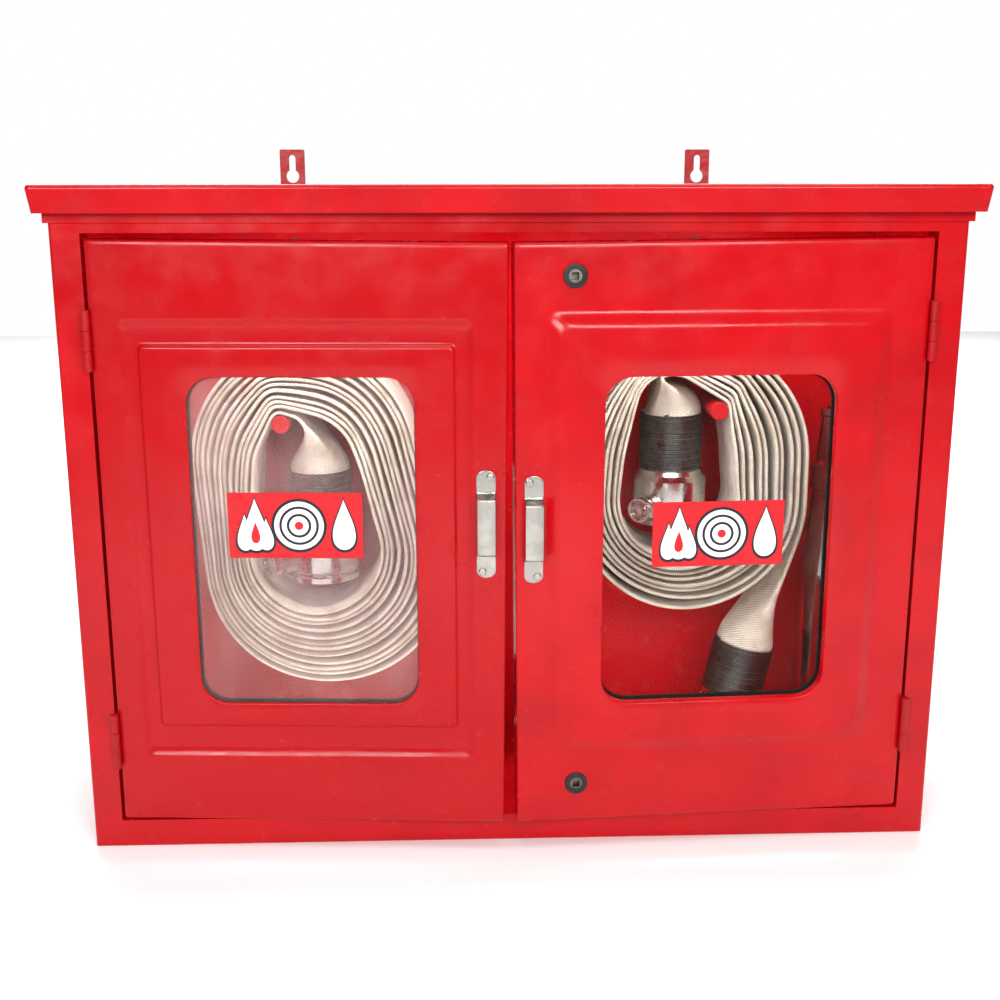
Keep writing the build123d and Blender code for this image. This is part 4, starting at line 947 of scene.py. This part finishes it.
@dataclass
class PillowDoor(Door):
    """A door with a soft raised field around its window."""

    pad: tuple[float, float, float, float] = (24.0, 317.0, 91.0, 479.0)
    pad_rise: float = 5.0
    lock_bore: float = 7.6

    def face_rings(self, window: Points) -> list[Points]:
        """Window edge, raised field, a rounded brow, an eased slope and a soft foot."""
        outer = rectangle(*self.pad)
        front, raised = self.face, self.face - self.pad_rise
        rings = self.window_edge(window, raised)
        rings.append(ring((grown(window, 1) + grown(outer, -17)) / 2, 20.0, raised))
        for inset in np.linspace(17.0, 0.0, 12):
            share = float(eased(np.array(inset), 0.5, 15.5))
            rings.append(ring(grown(outer, -inset), 8.0 + inset * 0.35, front - self.pad_rise * share))
        rings.append(ring(grown(outer, 1.5), 13.0, front))
        return rings

    def panel(self) -> bpy.types.Object:
        """The skin, bored for its two locks."""
        made = super().panel()
        boxes = [np.array(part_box(f"{level}_lock_housing")) for level in ("upper", "lower")]
        bored(made, [box.mean(axis=0) / MM for box in boxes], self.lock_bore)
        return made


# ------------------------------------------------------------------ release lugs


@dataclass
class Lug:
    """A release lug: a rod with a collar and a knob, whose face has a rim, a recess and an inner disc.

    The profile holds (radius, distance from the coupling's axis) in millimetres.
    """

    side: str
    coupling_x: float
    depth: float = 37.5
    soften: float = 0.5
    profile: tuple[tuple[float, float], ...] = (
        (0.01, 34.1), (6.6, 34.1), (6.6, 36.0), (4.0, 36.0), (4.0, 50.0), (10.8, 50.0), (12.0, 51.2),
        (12.0, 60.0), (9.4, 60.0), (8.8, 57.2), (6.9, 57.2), (6.3, 59.2), (0.01, 59.2),
    )

    def softened(self) -> Points:
        """Rounds each inner corner of the profile: two points set back from it and one between them."""
        corners = np.array(self.profile, float)
        inner = corners[1:-1]
        before, after = corners[:-2] - inner, corners[2:] - inner
        reach_before = np.linalg.norm(before, axis=1, keepdims=True)
        reach_after = np.linalg.norm(after, axis=1, keepdims=True)
        back = np.minimum(self.soften, np.minimum(reach_before, reach_after) * 0.45)
        first = inner + before / reach_before * back
        last = inner + after / reach_after * back
        arcs = np.stack([first, (first + last + 2 * inner) / 4, last], axis=1).reshape(-1, 2)
        return np.vstack([corners[:1], arcs, corners[-1:]])

    def build(self) -> None:
        """Turns the profile about the lug's own slide axis and lets it ride on the lug's body."""
        joint = next(j for j in frame["joints"] if j["name"] == f"{self.side}_lug_pull")
        axis = np.array(joint["axis"], float)
        up = np.array((0.0, 0.0, 1.0))
        low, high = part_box(f"{self.side}_release_lug")
        middle = np.array((self.coupling_x, self.depth, (low[2] + high[2]) / 2 / MM))
        turned = lathe(self.softened())
        grid = middle + turned @ np.stack([np.cross(up, axis), up, axis])
        made = build(f"{self.side}_turned_lug", [Skin(grid * MM, round_columns=True, cap_ends=True)], CHROME)
        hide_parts(f"{self.side}_release_lug")
        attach(made, f"{self.side}_lug")


# ------------------------------------------------------------------ studio


# Name, place, aimed point and size in metres, and power in watts, of each studio lamp.
STUDIO_LAMPS = (
    ("key", (0.35, -1.55, 0.95), (0.1, 0.0, 0.25), (0.7, 0.35), 15.0),
    ("fill", (-0.55, -1.55, 0.85), (-0.15, 0.0, 0.25), (0.6, 0.3), 11.0),
    ("top", (0.0, -0.5, 2.2), (0.0, 0.0, 0.4), (1.8, 0.8), 16.0),
    ("back", (0.0, 2.6, 2.2), (0.0, 1.4, 0.0), (4.0, 2.0), 160.0),
)
# Weak lamps behind the head and the sill of each compartment, kept out of reflections.
COMPARTMENT_MIDDLES = (-0.17, 0.17)
INSIDE_LAMP_SIZE = (0.28, 0.03)
# World strength as a light, and as the backdrop that the camera sees.
AIR_AS_LIGHT = 0.28
AIR_AS_BACKDROP = 1.0


@dataclass
class Studio:
    """Pale floor, soft lights and the camera."""

    eye: tuple[float, float, float] = (-0.050, -1.218, 0.579)
    right: tuple[float, float, float] = (0.99938, -0.03532, -0.00102)
    up: tuple[float, float, float] = (0.00924, 0.23343, 0.97233)
    forward: tuple[float, float, float] = (0.03410, 0.97173, -0.23362)
    lens: float = 47.52

    def camera(self) -> None:
        """Stands the camera at its eye, turned by its three axes."""
        data = bpy.data.cameras.new("camera")
        data.lens = self.lens
        data.sensor_width = 36.0
        camera = bpy.data.objects.new("camera", data)
        bpy.context.scene.collection.objects.link(camera)
        axes = np.eye(4)
        axes[:3, 0], axes[:3, 1], axes[:3, 2] = self.right, self.up, -np.array(self.forward)
        axes[:3, 3] = self.eye
        camera.matrix_world = Matrix(axes.tolist())
        bpy.context.scene.camera = camera

    def floor(self) -> None:
        """A wide pale floor under the cabinet."""
        side, level = 4.0, -0.0005
        near = [(-side, -side, level), (side, -side, level)]
        far = [(-side, side, level), (side, side, level)]
        finish = Finish("pale_studio_floor", "FBFBFB", roughness=0.9, specular=0.1)
        build("floor", [Skin(np.array([near, far]))], finish)

    def lamp(self, name: str, place: tuple, aim: tuple, size: tuple[float, float], power: float,
             mirrored: bool = True) -> None:
        """Adds a soft rectangular light at a place, aimed at a point."""
        data = bpy.data.lights.new(name, "AREA")
        data.shape = "RECTANGLE"
        data.size, data.size_y = size
        data.energy = power
        lamp = bpy.data.objects.new(name, data)
        bpy.context.scene.collection.objects.link(lamp)
        lamp.location = place
        lamp.visible_camera = False
        lamp.visible_glossy = mirrored
        lamp.rotation_euler = (Vector(aim) - Vector(place)).to_track_quat("-Z", "Y").to_euler()

    def world(self) -> None:
        """White to the eye, but dimmer as a light, so that the gelcoat keeps its colour."""
        world = bpy.data.worlds.new("studio_air")
        world.use_nodes = True
        bpy.context.scene.world = world
        tree = world.node_tree
        back = tree.nodes["Background"]
        seen = add(tree, "LightPath").outputs["Is Camera Ray"]
        seen_to_strength = {0: seen, 1: 0.0, 2: 1.0, 3: AIR_AS_LIGHT, 4: AIR_AS_BACKDROP}
        strength = add(tree, "MapRange", seen_to_strength).outputs[0]
        back.inputs["Color"].default_value = (1.0, 1.0, 1.0, 1.0)
        tree.links.new(strength, back.inputs["Strength"])

    def build(self) -> None:
        """Sets up the whole studio."""
        self.camera()
        self.floor()
        self.world()
        for name, place, aim, size, power in STUDIO_LAMPS:
            self.lamp(name, place, aim, size, power)
        for x in COMPARTMENT_MIDDLES:
            self.lamp(f"inside_top_{x}", (x, -0.085, 0.52), (x, 0.05, 0.2), INSIDE_LAMP_SIZE, 1.1, False)
            self.lamp(f"inside_low_{x}", (x, -0.085, 0.04), (x, 0.02, 0.3), INSIDE_LAMP_SIZE, 0.45, False)
        bpy.context.scene.view_settings.view_transform = "Standard"


def dress_cad() -> None:
    """Gives every CAD node that stays its finish, by the words in its name."""
    for finish, words in CAD_FINISHES.items():
        for name, piece in frame["nodes"].items():
            if any(word in name for word in words):
                piece.data.materials.clear()
                piece.data.materials.append(finish.material())


LEFT_HOSE = Hose(
    side="left",
    outside=Oval(((-172.0, 222.0, 118.0), (-190.0, 330.0, 110.0))),
    hole=Oval(((-184.0, 240.0, 57.5), (-192.0, 318.0, 44.0), (-211.0, 361.0, 9.0))),
    middle=(-186.0, 275.0),
    winding=Winding.COUNTERCLOCKWISE,
    turns=11.73,
    start_angle=98.0,
    coupling=(-180.0, 256.0),
    foot=(-34.0, 4.0),
    lean=0.0,
    start_pull=(0.0, 55.0),
    arrive_pull=45.0,
    leave_pull=40.0,
    over=(-38.0, 302.0),
    seed=2,
)
RIGHT_HOSE = Hose(
    side="right",
    outside=Oval(((174.0, 283.0, 113.0), (175.0, 325.0, 113.0))),
    hole=Oval(((163.0, 286.0, 52.0), (155.0, 372.0, 31.0), (198.0, 371.0, 9.0))),
    middle=(168.0, 310.0),
    winding=Winding.CLOCKWISE,
    turns=9.356,
    start_angle=103.0,
    coupling=(160.0, 309.0),
    foot=(214.0, 10.19),
    lean=13.0,
    start_pull=(-4.0, 50.0),
    arrive_pull=26.0,
    leave_pull=90.0,
    sag=7.0,
    seed=5,
)
LEFT_DOOR = GroovedDoor(
    side="left", hinge_edge=-347.0, meeting_top=-4.95, meeting_bottom=-8.95, window=(-272.0, -82.4)
)
RIGHT_DOOR = PillowDoor(
    side="right", hinge_edge=347.0, meeting_top=-1.45, meeting_bottom=2.55, window=(74.4, 271.0)
)
LEFT_LUG = Lug("left", LEFT_HOSE.coupling[0])
RIGHT_LUG = Lug("right", RIGHT_HOSE.coupling[0])


def main() -> None:
    """Builds the studio, dresses the frame, and makes each sub-assembly in order."""
    logging.basicConfig(level=logging.INFO, format="%(name)s: %(message)s")
    Studio().build()
    dress_cad()
    for part in (LEFT_HOSE, RIGHT_HOSE, LEFT_DOOR, RIGHT_DOOR, LEFT_LUG, RIGHT_LUG):
        part.build()


if __name__ == "__main__":
    main()
